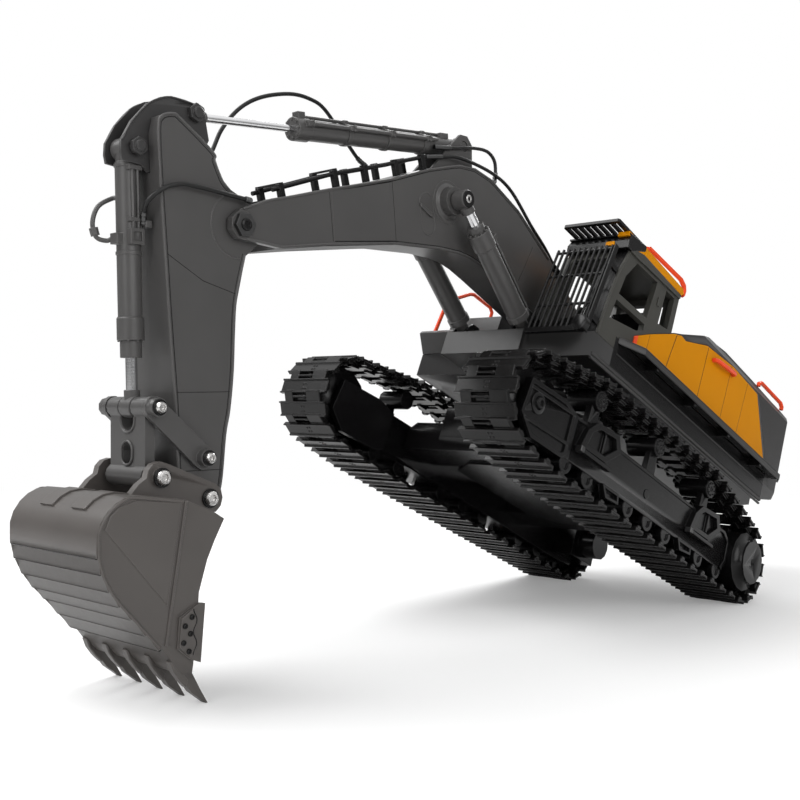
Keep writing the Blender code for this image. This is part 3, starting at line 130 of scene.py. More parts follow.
# Closed rings joined by quads: face (i, j) joins points j, j + 1 of rings i, i + 1; ends capped
def ringSurface(rings, loop=False):
    rings = np.asarray(rings, float)
    rows, count = rings.shape[:2]
    index = np.arange(rows * count).reshape(rows, count)
    below = index if loop else index[:-1]
    above = np.roll(index, -1, axis=0) if loop else index[1:]
    quads = np.stack([below, np.roll(below, -1, 1), np.roll(above, -1, 1), above], -1).reshape(-1, 4)
    faces = quads.tolist()
    if not loop:
        faces += [index[0, ::-1].tolist(), index[-1].tolist()]
    return rings.reshape(-1, 3), faces


# Outline moved inward: each corner slides along the sum of its edge normals
def insetOutline(outline, gap):
    outline = np.asarray(outline, float)
    before, after = np.roll(outline, 1, 0), np.roll(outline, -1, 0)
    area = np.sum(outline[:, 0] * after[:, 1] - after[:, 0] * outline[:, 1])
    first, second = outline - before, after - outline
    first /= np.maximum(np.linalg.norm(first, axis=1, keepdims=True), 1e-6)
    second /= np.maximum(np.linalg.norm(second, axis=1, keepdims=True), 1e-6)
    lean = np.stack([first[:, 1] + second[:, 1], -first[:, 0] - second[:, 0]], -1)
    scale = 2 / np.maximum(np.sum(lean * lean, axis=1, keepdims=True), 0.35)
    return outline - np.sign(area) * lean * scale * gap


# Plate with eased edges: rings at low, low + edge, high - edge and high, the end two drawn in
def plateSurface(outline, low, high, edge=0.3, axis="Y", side=1):
    outer = np.asarray(outline, float)
    inner = insetOutline(outer, edge)
    low, high = sorted((side * low, side * high))
    order = (0, 1, 2) if axis == "Z" else (0, 2, 1)
    levels = ((inner, low), (outer, low + edge), (outer, high - edge), (inner, high))
    return ringSurface([np.column_stack([ring, np.full(len(ring), level)])[:, order]
                        for ring, level in levels])


# Block with eased edges, as a plate of a rectangle
def boxSurface(low, high, edge=0.3, side=1):
    corners = np.array((low, high), float) * (1, side, 1)
    (x0, y0, z0), (x1, y1, z1) = corners.min(0), corners.max(0)
    edge = min(edge, 0.3 * min(x1 - x0, y1 - y0, z1 - z0))
    return plateSurface([(x0, z0), (x1, z0), (x1, z1), (x0, z1)], y0, y1, edge)


# Raised border: the outline and its inset joined into a closed band
def frameBand(outline, low, high, width, side=1):
    outer = np.asarray(outline, float)
    inner, eased = insetOutline(outer, width), insetOutline(outer, 0.2)
    rings = [(outer, low), (outer, high), (eased, high), (inner, high), (inner, low)]
    return ringSurface([atSide(ring, side * y) for ring, y in rings], loop=True)


# Flat strip along a path on a side face, standing a hair proud of it
def seamStrip(path, face, side, width=0.4):
    path = np.asarray(path, float)
    ahead = np.gradient(path, axis=0)
    ahead /= np.linalg.norm(ahead, axis=1, keepdims=True)
    across = np.column_stack([-ahead[:, 1], ahead[:, 0]]) * width / 2
    sunk, proud = 0.2, 0.06
    strip = np.vstack([path + across, (path - across)[::-1]])
    return plateSurface(strip, face - sunk, face + proud, (sunk + proud) / 3, side=side)


# Profile of (radius, along) swept round an axis: p = centre + r cos a, along, r sin a
def turnedSurface(profile, centre=(0, 0, 0), axis="Y", count=40, side=1):
    profile = np.asarray(profile, float)
    angles = np.linspace(0, 2 * np.pi, count, endpoint=False)
    radius = np.maximum(profile[:, :1], 0.001)
    along = side * np.repeat(profile[:, 1:], count, 1)
    first, second = radius * np.cos(angles), radius * np.sin(angles)
    stack = {"Y": (first, along, second), "X": (along, first, second), "Z": (first, second, along)}[axis]
    return ringSurface(np.stack(stack, -1) + np.asarray(centre, float) * (1, side, 1))


# Flat ring standing on a side face
def collarSurface(inner, outer, height, centre, count, side):
    return turnedSurface([(inner, 0), (outer, 0), (outer, height), (inner, height)], centre, "Y", count,
                         side)


# Round head with a socket, on a face square to Y
def screwSurface(centre, side, radius, height, count=24):
    shape = np.array([(0, 0.45), (0.42, 0.45), (0.50, 0.98), (0.74, 1), (0.93, 0.72), (1, 0.30)])
    root = 0.2
    return turnedSurface([*(shape * (radius, height)), (radius, -root), (0, -root)], centre, "Y", count,
                         side)


# Hexagon nut with a stud end
def nutSurface(centre, side, radius, height):
    x, y, z = centre
    turns = 0.35 + np.linspace(0, 2 * np.pi, 6, endpoint=False)
    hexagon = np.column_stack([x + radius * np.cos(turns), z + radius * np.sin(turns)])
    stud = np.array([(0, 0), (0.6, 0), (0.6, 1.35), (0.48, 1.5), (0, 1.5)]) * (radius, height)
    return [plateSurface(hexagon, y, y + height, side=side), turnedSurface(stud, centre, "Y", 18, side)]


# Circle carried along a path: p = path(t) + r (n cos a + b sin a), the frame kept from twisting
def tubeSurface(path, radius, count=12, loop=False, side=1):
    path = np.asarray(path, float) * (1, side, 1)
    ahead = np.roll(path, -1, 0) - np.roll(path, 1, 0) if loop else np.gradient(path, axis=0)
    ahead /= np.linalg.norm(ahead, axis=1, keepdims=True)
    normal = np.zeros_like(path)
    start = np.cross(ahead[0], (0.31, 0.52, 0.79))
    normal[0] = start / np.linalg.norm(start)
    for step in range(1, len(path)):  # parallel transport, one step per ring
        lean = normal[step - 1] - ahead[step] * np.dot(normal[step - 1], ahead[step])
        normal[step] = lean / np.linalg.norm(lean)
    binormal = np.cross(ahead, normal)
    angles = np.linspace(0, 2 * np.pi, count, endpoint=False)
    radius = np.broadcast_to(np.asarray(radius, float), (len(path),))[:, None, None]
    ring = normal[:, None] * np.cos(angles)[:, None] + binormal[:, None] * np.sin(angles)[:, None]
    return ringSurface(path[:, None] + radius * ring, loop=loop)


# Curve through the points: cubic with slopes (after - before) / 2, sampled steps times per span
def smoothPath(points, steps):
    points = np.asarray(points, float)
    padded = np.vstack([2 * points[0] - points[1], points, 2 * points[-1] - points[-2]])
    a, b, c, d = padded[:-3, None], padded[1:-2, None], padded[2:-1, None], padded[3:, None]
    t = np.linspace(0, 1, steps, endpoint=False)[None, :, None]
    curve = 0.5 * (2 * b + (c - a) * t + (2 * a - 5 * b + 4 * c - d) * t ** 2
                   + (3 * b - a - 3 * c + d) * t ** 3)
    return np.vstack([curve.reshape(-1, points.shape[1]), points[-1:]])


# The same surface at many places: vertices of copy k = R_k v + t_k
def repeated(surface, matrices):
    vertices, faces = surface
    turns = np.array([np.array(m.to_3x3()) for m in matrices])
    shifts = np.array([np.array(m.translation) for m in matrices])
    copies = np.einsum("kij,nj->kni", turns, vertices) + shifts[:, None]
    count = len(vertices)
    allFaces = [[corner + k * count for corner in face] for k in range(len(matrices)) for face in faces]
    return copies.reshape(-1, 3), allFaces


# Small turned forms evenly round the X axis at x
def boltRing(profile, x, radius, count):
    turns = np.linspace(0, 2 * np.pi, count, endpoint=False)
    places = [Matrix.Translation((x, radius * math.cos(a), radius * math.sin(a))) for a in turns]
    return repeated(turnedSurface(profile, axis="X", count=8), places)


# Mesh shaded smooth across its curves, in a finish, on its body or, given no body name, left unparented in
# the world
def placePiece(name, mesh, finish, body, nodes, sharp=32):
    mesh.shade_smooth()
    mesh.set_sharp_from_angle(angle=math.radians(sharp))
    mesh.materials.clear()
    mesh.materials.append(finishes[finish])
    piece = bpy.data.objects.new(name, mesh)
    bpy.context.scene.collection.objects.link(piece)
    if isinstance(body, str):
        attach(piece, body)
    else:
        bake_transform(piece)
    if nodes:
        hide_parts(*nodes)
    return piece


# One object from several surfaces of a local frame
def makePiece(name, surfaces, matrix, finish, body, nodes=(), sharp=32):
    vertices, faces, start = [], [], 0
    for points, polygons in surfaces:
        vertices.append(moved(points, matrix))
        faces += [[corner + start for corner in polygon] for polygon in polygons]
        start += len(points)
    mesh = bpy.data.meshes.new(name)
    mesh.from_pydata(np.vstack(vertices).tolist(), [], faces)
    shaped = bmesh.new()
    shaped.from_mesh(mesh)
    bmesh.ops.recalc_face_normals(shaped, faces=shaped.faces)
    shaped.to_mesh(mesh)
    shaped.free()
    return placePiece(name, mesh, finish, body, nodes, sharp)


# The node's own solid, its doubles merged and its flat faces joined
def dressedNode(node, finish, flat):
    source = frame["nodes"][node]
    mesh = source.data.copy()
    shaped = bmesh.new()
    shaped.from_mesh(mesh)
    bmesh.ops.remove_doubles(shaped, verts=shaped.verts, dist=0.000002)
    bmesh.ops.dissolve_limit(shaped, angle_limit=math.radians(0.5), verts=shaped.verts, edges=shaped.edges)
    shaped.to_mesh(mesh)
    shaped.free()
    placePiece(node + "_finish", mesh, finish, source["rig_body"], [node])
    for face in mesh.polygons:
        if abs(face.normal.y) > flat:  # side walls stay flat beside a bend
            face.use_smooth = False


# finishes
def shaderNode(tree, kind, links=None, **values):
    node = tree.nodes.new("ShaderNode" + kind)
    for key, value in values.items():
        setattr(node, key, value)
    for socket, value in (links or {}).items():
        if isinstance(value, bpy.types.NodeSocket):
            tree.links.new(value, node.inputs[socket])
        else:
            node.inputs[socket].default_value = value
    return node


def noiseOf(tree, spots, scale, detail, roughness=0.5):
    return shaderNode(tree, "TexNoise", {"Vector": spots, "Scale": scale, "Detail": detail,
                                         "Roughness": roughness}).outputs["Fac"]


# One range of values stretched onto another
def mapRange(tree, value, start, end, **values):
    return shaderNode(tree, "MapRange", {"Value": value, "From Min": start[0], "From Max": start[1],
                                         "To Min": end[0], "To Max": end[1]}, **values).outputs["Result"]


def mixColours(tree, share, first, second):
    first, second = (tone if isinstance(tone, bpy.types.NodeSocket) else (*np.minimum(tone, 1), 1)
                     for tone in (first, second))
    return shaderNode(tree, "Mix", {0: share, 6: first, 7: second}, data_type="RGBA").outputs[2]


def newFinish(name):
    material = bpy.data.materials.new(name)
    material.use_nodes = True
    tree = material.node_tree
    shader = tree.nodes["Principled BSDF"]
    spots = shaderNode(tree, "TexCoord").outputs["Object"]
    return material, tree, shader, spots


def setBump(tree, shader, height, strength, distance, normal):
    bump = shaderNode(tree, "Bump", {"Height": height, "Strength": strength, "Distance": distance,
                                     "Normal": normal})
    tree.links.new(bump.outputs["Normal"], shader.inputs["Normal"])


# Moulded plastic: cloudy tone, fine grain in the bump, and painted highlights: the base colour lightened
# along eased edges
def mouldedFinish(name, colour, roughness, edge=0.00045, edgeHighlight=0.35, highlightTone=1.7, dark=0.86, light=1.12,
                  specular=0.45):
    material, tree, shader, spots = newFinish(name)
    eased = shaderNode(tree, "Bevel", {"Radius": edge}, samples=6).outputs["Normal"]
    surface = shaderNode(tree, "NewGeometry").outputs["Normal"]
    facing = shaderNode(tree, "VectorMath", {0: eased, 1: surface}, operation="DOT_PRODUCT").outputs["Value"]
    # painted highlight: where the bevel bends the normal, a lighter tone is mixed into the base colour
    edges = mapRange(tree, facing, (0.985, 0.80), (0.0, edgeHighlight))
    colour = np.array(colour)
    tones = mixColours(tree, noiseOf(tree, spots, 38.0, 5.0), colour * dark, colour * light)
    highlighted = mixColours(tree, edges, tones, colour * highlightTone + 0.004)
    tree.links.new(highlighted, shader.inputs["Base Color"])
    scuffs = noiseOf(tree, spots, 210.0, 8.0, 0.7)
    sheen = mapRange(tree, scuffs, (0.3, 0.7), (roughness - 0.02, roughness + 0.03))
    tree.links.new(sheen, shader.inputs["Roughness"])
    setBump(tree, shader, noiseOf(tree, spots, 2600.0, 2.0), 0.05, 0.00012, eased)
    shader.inputs["Specular IOR Level"].default_value = specular
    return material


# Turned or plated metal: fine lines along the turning and a little cloud in the polish
def metalFinish(name, colour, roughness, stretch=(40, 40, 900)):
    material, tree, shader, spots = newFinish(name)
    stretched = shaderNode(tree, "Mapping", {"Vector": spots, "Scale": stretch}).outputs["Vector"]
    lines = noiseOf(tree, stretched, 3.0, 4.0)
    eased = shaderNode(tree, "Bevel", {"Radius": 0.0003}, samples=6).outputs["Normal"]
    colour = np.array(colour)
    tones = mixColours(tree, noiseOf(tree, spots, 120.0, 4.0), colour * 0.88, colour * 1.08)
    tree.links.new(tones, shader.inputs["Base Color"])
    polish = mapRange(tree, lines, (0.3, 0.7), (roughness * 0.75, roughness * 1.3))
    tree.links.new(polish, shader.inputs["Roughness"])
    setBump(tree, shader, lines, 0.06, 0.0001, eased)
    shader.inputs["Metallic"].default_value = 1.0
    return material


# strong painted highlights on the edges of the black finishes
blackHighlights = {"highlightTone": 4.0, "edgeHighlight": 0.5}
even = (500, 500, 500)
finishes = {
    "charcoal": mouldedFinish("charcoal_satin", (0.070, 0.068, 0.067), 0.32, highlightTone=2.4, edgeHighlight=0.6,
                              specular=0.42),
    "bucketGrey": mouldedFinish("bucket_satin", (0.084, 0.076, 0.071), 0.32, highlightTone=2.2, edgeHighlight=0.6,
                                specular=0.42),
    "black": mouldedFinish("black_satin", (0.0052, 0.0050, 0.0052), 0.24, specular=0.26, **blackHighlights),
    "trackBlack": mouldedFinish("track_black", (0.0058, 0.0055, 0.0055), 0.24, specular=0.30, **blackHighlights),
    "cabGrey": mouldedFinish("cab_olive_grey", (0.050, 0.049, 0.043), 0.34, highlightTone=2.4, specular=0.36),
    "bodyGrey": mouldedFinish("body_dark_grey", (0.036, 0.035, 0.035), 0.36, highlightTone=2.4, specular=0.36),
    "deckGrey": mouldedFinish("deck_near_black", (0.014, 0.0135, 0.0135), 0.32, highlightTone=3.0, specular=0.30),
    "yellow": mouldedFinish("amber_yellow", (0.66, 0.248, 0.0012), 0.36, dark=0.95, light=1.04, highlightTone=1.2,
                            specular=0.06),
    "orange": mouldedFinish("rail_orange", (0.88, 0.080, 0.021), 0.34, dark=0.94, light=1.05, highlightTone=1.2,
                            edge=0.0002, specular=0.20),
    "rubber": mouldedFinish("hose_rubber", (0.008, 0.008, 0.008), 0.42, edge=0.0001, specular=0.35),
    "chrome": metalFinish("rod_chrome", (0.80, 0.80, 0.81), 0.12),
    "steel": metalFinish("screw_steel", (0.62, 0.61, 0.60), 0.24, even),
    "darkSteel": metalFinish("blackened_steel", (0.10, 0.10, 0.10), 0.36, even),
    "board": mouldedFinish("board_green", (0.02, 0.16, 0.06), 0.40),
    "cell": mouldedFinish("cell_blue", (0.02, 0.05, 0.22), 0.35),
}
print("finishes made:", len(finishes))


# Pale floor that turns to plain white away from the part: a mix of matt and glow by distance
def makeFloor(look):
    half = look["floor"] / 2
    mesh = bpy.data.meshes.new("floor")
    mesh.from_pydata([(-half, -half, 0), (half, -half, 0), (half, half, 0), (-half, half, 0)], [],
                     [(0, 1, 2, 3)])
    material, tree, shader, spots = newFinish("floor_white")
    tree.nodes.remove(shader)
    path = shaderNode(tree, "LightPath")
    matt = shaderNode(tree, "BsdfDiffuse", {"Color": (look["floorTone"],) * 3 + (1,)}).outputs[0]
    glow = shaderNode(tree, "Emission", {"Strength": look["floorGlow"]}).outputs[0]
    near = shaderNode(tree, "AddShader", {0: matt, 1: glow}).outputs[0]
    white = shaderNode(tree, "Emission", {"Strength": 1.0}).outputs[0]
    away = shaderNode(tree, "VectorMath", {0: spots}, operation="LENGTH").outputs["Value"]
    fade = mapRange(tree, away, look["fade"], (0, 1), interpolation_type="SMOOTHSTEP")
    bright = shaderNode(tree, "MixShader", {0: fade, 1: near, 2: white}).outputs[0]
    mixed = shaderNode(tree, "MixShader", {0: path.outputs["Is Camera Ray"], 1: matt, 2: bright}).outputs[0]
    tree.links.new(mixed, tree.nodes["Material Output"].inputs["Surface"])
    mesh.materials.append(material)
    floor = bpy.data.objects.new("floor", mesh)
    bpy.context.scene.collection.objects.link(floor)


# White to the camera, dimmer as light, and darker towards the walls in reflections
def makeWorld(look):
    world = bpy.data.worlds.new("studio")
    bpy.context.scene.world = world
    world.use_nodes = True
    tree = world.node_tree
    path = shaderNode(tree, "LightPath").outputs
    seen = path["Is Camera Ray"]
    for ray in ("Is Glossy Ray", "Is Transmission Ray"):
        seen = shaderNode(tree, "Math", {0: seen, 1: path[ray]}, operation="MAXIMUM").outputs[0]
    strength = mapRange(tree, seen, (0, 1), (look["ambient"], 1.0))
    heading = shaderNode(tree, "SeparateXYZ", {0: shaderNode(tree, "TexCoord").outputs["Generated"]})
    ceiling = mapRange(tree, heading.outputs["Z"], (0.02, 0.75), (look["walls"], 1.0))
    level = shaderNode(tree, "Mix", {0: path["Is Glossy Ray"], 2: strength, 3: ceiling}).outputs[0]
    tree.links.new(level, tree.nodes["Background"].inputs["Strength"])
    tree.nodes["Background"].inputs["Color"].default_value = (1, 1, 1, 1)


def addSoftbox(name, spot, target, size, power):
    lamp = bpy.data.lights.new(name, "AREA")
    lamp.shape = "RECTANGLE"
    lamp.size, lamp.size_y = size
    lamp.energy = power
    item = bpy.data.objects.new(name, lamp)
    item.location = spot
    item.rotation_euler = (Vector(target) - Vector(spot)).to_track_quat("-Z", "Y").to_euler()
    bpy.context.scene.collection.objects.link(item)


def addCamera(look):
    yaw, pitch, roll = (math.radians(look[key]) for key in ("yaw", "pitch", "roll"))
    ahead = Vector((-math.cos(yaw) * math.cos(pitch), -math.sin(yaw) * math.cos(pitch), math.sin(pitch)))
    right = Vector((-math.sin(yaw), math.cos(yaw), 0))
    up = right.cross(ahead)
    right, up = right * math.cos(roll) + up * math.sin(roll), up * math.cos(roll) - right * math.sin(roll)
    lens = bpy.data.cameras.new("camera")
    lens.sensor_width = 36.0
    lens.lens = lens.sensor_width * look["focalPixels"] / look["photoPixels"]
    item = bpy.data.objects.new("camera", lens)
    turn = Matrix((right, up, -ahead)).transposed()
    item.matrix_world = Matrix.Translation(look["spot"]) @ turn.to_4x4()
    bpy.context.scene.collection.objects.link(item)
    bpy.context.scene.camera = item


studio = {"floor": 8.0, "floorTone": 0.85, "floorGlow": 0.22, "fade": (0.40, 1.20), "ambient": 0.34,
          "walls": 0.18, "focalPixels": 1089.2, "photoPixels": 800, "spot": (0.5529, 0.4334, 0.1332),
          "yaw": 42.79, "pitch": 0.514, "roll": 0.713}
makeFloor(studio)
makeWorld(studio)
addCamera(studio)
addSoftbox("key", (0.95, -0.75, 1.55), (0.0, 0.0, 0.1), (1.3, 1.3), 26)
addSoftbox("fill", (0.35, 1.75, 0.75), (0.0, 0.0, 0.12), (1.4, 0.9), 11)
addSoftbox("front", (1.70, 0.35, 0.85), (0.1, 0.0, 0.12), (0.9, 1.2), 8)
addSoftbox("back", (-1.30, -0.60, 1.10), (0.0, 0.0, 0.15), (1.2, 0.8), 14)
bpy.context.scene.view_settings.view_transform = "Standard"
print("stage, camera and lights set")


# the solids in their finishes
dressing = {
    "charcoal": ["boom_shell", "arm_shell", "rocker_left", "rocker_right", "push_link"],
    "bucketGrey": ["bucket_shell"],
    "black": ["chassis_frame", "track_frame_left", "track_frame_right", "drive_motor_left",
              "drive_motor_right", "drive_sprocket_left", "drive_sprocket_right", "idler_wheel_left",
              "idler_wheel_right", "cab_seat", "cab_console", "roof_visor", "work_lamp"],
    "cabGrey": ["cab_frame"],
    "deckGrey": ["house_deck"],
    "bodyGrey": ["engine_hood", "counterweight", "tool_box", "ear_plate_left", "ear_plate_right"],
    "yellow": ["cab_roof", "side_panel_left", "side_panel_right"],
    "orange": ["roof_rail", "deck_rail", "hood_handle_left", "hood_handle_right", "tail_handle_left",
               "tail_handle_right"],
    "darkSteel": ["slew_ring", "boom_foot_pin", "arm_pin"],
}
flatWalls = {"boom_shell": 0.8, "arm_shell": 0.8}
for finish, nodeNames in dressing.items():
    for nodeName in nodeNames:
        dressedNode(nodeName, finish, flatWalls.get(nodeName, 2.0))
for nodeName, finish in (("slew_motor", "darkSteel"), ("battery_pack", "cell"), ("control_board", "board")):
    frame["nodes"][nodeName].data.materials.clear()  # closed in under the hood
    frame["nodes"][nodeName].data.materials.append(finishes[finish])
print("solids dressed")


# Belt line round its wheels: arcs between the tangent points, as points and outward normals
def trackPath(look):
    wheels = [(*look["sprocket"], look["radius"]), look["roller"], (*look["idler"], look["radius"])]
    wheels += [(x, z, look["carrier"] + look["tread"]) for x, z in look["carriers"]]
    wheels = np.array(wheels)
    along = np.roll(wheels[:, :2], -1, 0) - wheels[:, :2]
    length = np.linalg.norm(along, axis=1)
    lean = (wheels[:, 2] - np.roll(wheels[:, 2], -1)) / length
    along /= length[:, None]
    across = np.column_stack([along[:, 1], -along[:, 0]])
    normals = along * lean[:, None] + across * np.sqrt(1 - lean ** 2)[:, None]
    leaving = np.arctan2(normals[:, 1], normals[:, 0])
    arriving = np.roll(leaving, 1)
    sweep = (leaving - arriving) % (2 * np.pi)
    turns = arriving[:, None] + sweep[:, None] * np.linspace(0, 1, 40)
    facing = np.stack([np.cos(turns), np.sin(turns)], -1)
    points = wheels[:, None, :2] + facing * wheels[:, 2, None, None]
    return points.reshape(-1, 2), facing.reshape(-1, 2)


# Frames spaced one pitch apart along the belt line: X along, Y across, Z outward
def shoeFrames(look):
    points, normals = trackPath(look)
    points, normals = np.vstack([points, points[:1]]), np.vstack([normals, normals[:1]])
    reach = reachAlong(points)
    count = round(reach[-1] / look["pitch"])
    spots = reach[-1] * (np.arange(count) + look["phase"]) / count
    x, z = (np.interp(spots, reach, points[:, k]) for k in (0, 1))
    nx, nz = (np.interp(spots, reach, normals[:, k]) for k in (0, 1))
    size = np.hypot(nx, nz)
    frames = []
    for px, pz, ox, oz in zip(x, z, nx / size, nz / size):
        frames.append(Matrix(((-oz, 0, ox, px), (0, 1, 0, 0), (ox, 0, oz, pz), (0, 0, 0, 1))))
    return frames, reach[-1] / count


# One shoe: tray with a raised rim, chain link, pin between collars and the two end bosses
def shoeSurfaces(look, pitch):
    half, width = look["share"] * pitch, look["width"] / 2
    bar, slope, sunk, back = 0.8, 1.3, -1.0, -2.6
    start, end = half - 1, pitch - half + 1
    tray = [(-half, back), (-half, 0), (bar - half, 0), (slope - half, sunk), (half - slope, sunk),
            (half - bar, 0), (half, 0), (half, back)]
    pin = [(0, -7.4), (0.9, -7.4), (0.9, 2.8), (1.3, 3), (1.3, 4.8), (0.9, 5), (0.9, 7.4), (0, 7.4)]
    lobe = [(-2.1, -2.2), (2.1, -2.2), (2.1, -3.8), (1.2, -4.7), (-1.2, -4.7), (-2.1, -3.8)]
    mark = [(0, -1.2), (0.7, -1.2), (0.6, -0.6), (0, -0.6)]
    shoe = [plateSurface(tray, -width, width, 0.2), boxSurface((start, -16, -4), (end, -8.6, -1.4)),
            boxSurface((start, 4, -4), (end, 16, -1.4)), boxSurface((start, -15, -5), (end, 15, -3.8)),
            turnedSurface(pin, (pitch / 2, -2, -2.4), "Y", 10)]
    shoe += [boxSurface((bar - half, y - 1.8, -6), (half - bar, y + 1.8, -2.2)) for y in (-8.5, 8.5)]
    shoe += [plateSurface(lobe, width - 4.8, width - 0.8, side=side) for side in sides]
    shoe += [turnedSurface(mark, (x, y, 0), "Z", 8)
             for x, y in ((-1.4, -1), (1.4, -1), (-1.4, 1.2), (1.4, 1.2))]
    return shoe


track = {"sprocket": (-133.75, 29.2), "idler": (133.75, 32.2), "radius": 29.2, "tread": 6.6, "carrier": 6.2,
         "carriers": [(76.3, 59.0), (3.2, 59.7), (-71.6, 60.0)], "pitch": 15.0, "share": 0.31, "phase": 0.43,
         "width": 41.2, "offset": 71.9, "roller": (96.0, 12.0, 12.0)}
shoePlaces, shoePitch = shoeFrames(track)
for hand, side in hands:
    placed = [Matrix.Translation((0, side * track["offset"], 0)) @ m for m in shoePlaces]
    shoes = [repeated(surface, placed) for surface in shoeSurfaces(track, shoePitch)]
    makePiece("track_shoes_" + hand, shoes, machine, "trackBlack", "undercarriage", ["track_belt_" + hand])
print("track shoes:", 2 * len(shoePlaces))


# Mouldings on the outside of a track frame
def sideFrame(look, side):
    face, hub = look["face"], look["face"] + 0.8
    nose = [(144.5, 42.8), (147, 22.3), (133.8, 12.2), (102.8, 12.8), (98.5, 16), (98.5, 41.5), (110, 44.5)]
    bits = [frameBand(nose, face - 0.4, face + 1.2, 2.6, side)]
    for z, front in ((38.2, 143.4), (20.4, 143.6)):
        bar = [(front, z - 1.1), (98.6, z + 0.9), (98.6, z + 3.1), (front, z + 1.1)]
        bits.append(plateSurface(bar, face - 0.4, face + 1.4, side=side))
    x, z = track["idler"]
    bits.append(turnedSurface([(3, 0), (6.2, 0), (6.2, 0.8), (5.4, 1.2), (3, 1.2)], (x, face, z), "Y", 30,
                              side))
    bits.append(screwSurface((x, hub, z), side, 3.4, 2.2))
    for shift in look["steps"]:
        panel = np.array([(76, 41.6), (57, 43), (53.7, 37.6), (64.5, 29.2), (83.6, 29),
                          (81.3, 37)]) + (shift, 0)
        bits += [boxSurface((90 + shift, face, 22.6), (56 + shift, face + 4.2, 25), side=side),
                 plateSurface(panel, face - 0.3, face + 0.6, side=side),
                 boxSurface((65.5 + shift, face, 30), (66.8 + shift, face + 2.6, 42), side=side)]
    angles = np.radians(np.linspace(-205, 25, 16))
    arc = np.column_stack([np.cos(angles), np.sin(angles)])
    for spot in ((96, 12), (72, 12), (23, 12), (-2, 12), (-27, 12), (-74, 12.6), (-102, 12.6)):
        bits.append(plateSurface(np.vstack([spot + 6 * arc, spot + 3.4 * arc[::-1]]), face - 3, face + 0.4,
                                 side=side))
    for corners in ([(56, 15.6), (50, 8.6), (35, 9.6), (37, 15.8)],
                    [(-42, 15.6), (-47, 8.8), (-62.5, 10.2), (-61, 15.8)]):
        bits.append(frameBand(corners, face - 2, face + 0.8, 1.6, side))
        bits.append(plateSurface(corners, face - 3, face - 1.8, side=side))
    roller = [(0, 62.1), (5.2, 62.1), (5.4, 62.4), (5.4, 85.7), (5, 86.1), (0, 86.1)]
    bits += [turnedSurface(roller, (x, 0, 12), "Y", 32, side)
             for x in (95.95, 70, 22, -4, -28.5, -77, -102.95)]
    carrier = [(0, 67.1), (6.2, 67.1), (6.25, 70), (6.25, 87.2), (5.8, 87.8), (0, 87.8)]
    dot = turnedSurface([(0, 0), (0.6, 0), (0.4, 0.6), (0, 0.6)], count=8, side=side)
    for x, z in track["carriers"]:
        dots = [Matrix.Translation((x + 4 * math.cos(a), side * (hub + 0.6), z + 4 * math.sin(a)))
                for a in np.linspace(0, 2 * np.pi, 8, endpoint=False)]
        bits += [turnedSurface(carrier, (x, 0, z), "Y", 36, side),
                 collarSurface(3.4, 4.6, 0.6, (x, hub, z), 24, side),
                 screwSurface((x, hub, z), side, 1.8, 1.2, 16), repeated(dot, dots)]
    bits.append(collarSurface(1.8, 3, 0.4, (4.9, 86.4, 27.8), 24, side))
    rear = [(-92, 41.2), (-104, 41.5), (-113.4, 36), (-113.8, 22), (-109, 15), (-106.4, 16.4),
            (-110.6, 22.6), (-110.4, 35), (-102.6, 39.2), (-92, 39)]
    bits.append(plateSurface(rear, face - 0.8, face + 0.6, side=side))
    bits.append(boxSurface((93, 85.8, 39.5), (-100, 87, 41.6), side=side))
    return bits


frameLook = {"face": 86.9, "steps": (0, -140)}
for hand, side in hands:
    makePiece("frame_mouldings_" + hand, sideFrame(frameLook, side), machine, "black", "undercarriage")
    clips = [boxSurface((90.5 + shift, frameLook["face"], 22.2), (86.8 + shift, 91.5, 25.6), side=side)
             for shift in frameLook["steps"]]
    makePiece("step_clips_" + hand, clips, machine, "darkSteel", "undercarriage")
print("track frames detailed")

bucketLook = {"half": 36.5, "bladeStep": 1.6, "teeth": np.linspace(-34.3, 34.3, 5),
              "pads": ((-17, -6.2), (9.5, 20.5))}
bucketRim = [(25.6, 0.7), (50.1, 3.6), (55.2, 2.9), (59.4, 0.8), (63, -2.2), (66, -6.6), (67.6, -11.2),
             (67.6, -16.5), (67.3, -20.4), (65.5, -27.1), (61.6, -34.6), (56.3, -41.5), (50.5, -47.5),
             (43.3, -55.3), (36.6, -62.4)]
bucketPlates = np.array([(68.4, -20.7), (66.6, -27.6), (62.6, -35.2), (57.2, -42.2), (51.4, -48.2),
                         (44.2, -56), (37.4, -63.4), (30.6, -68.8)])
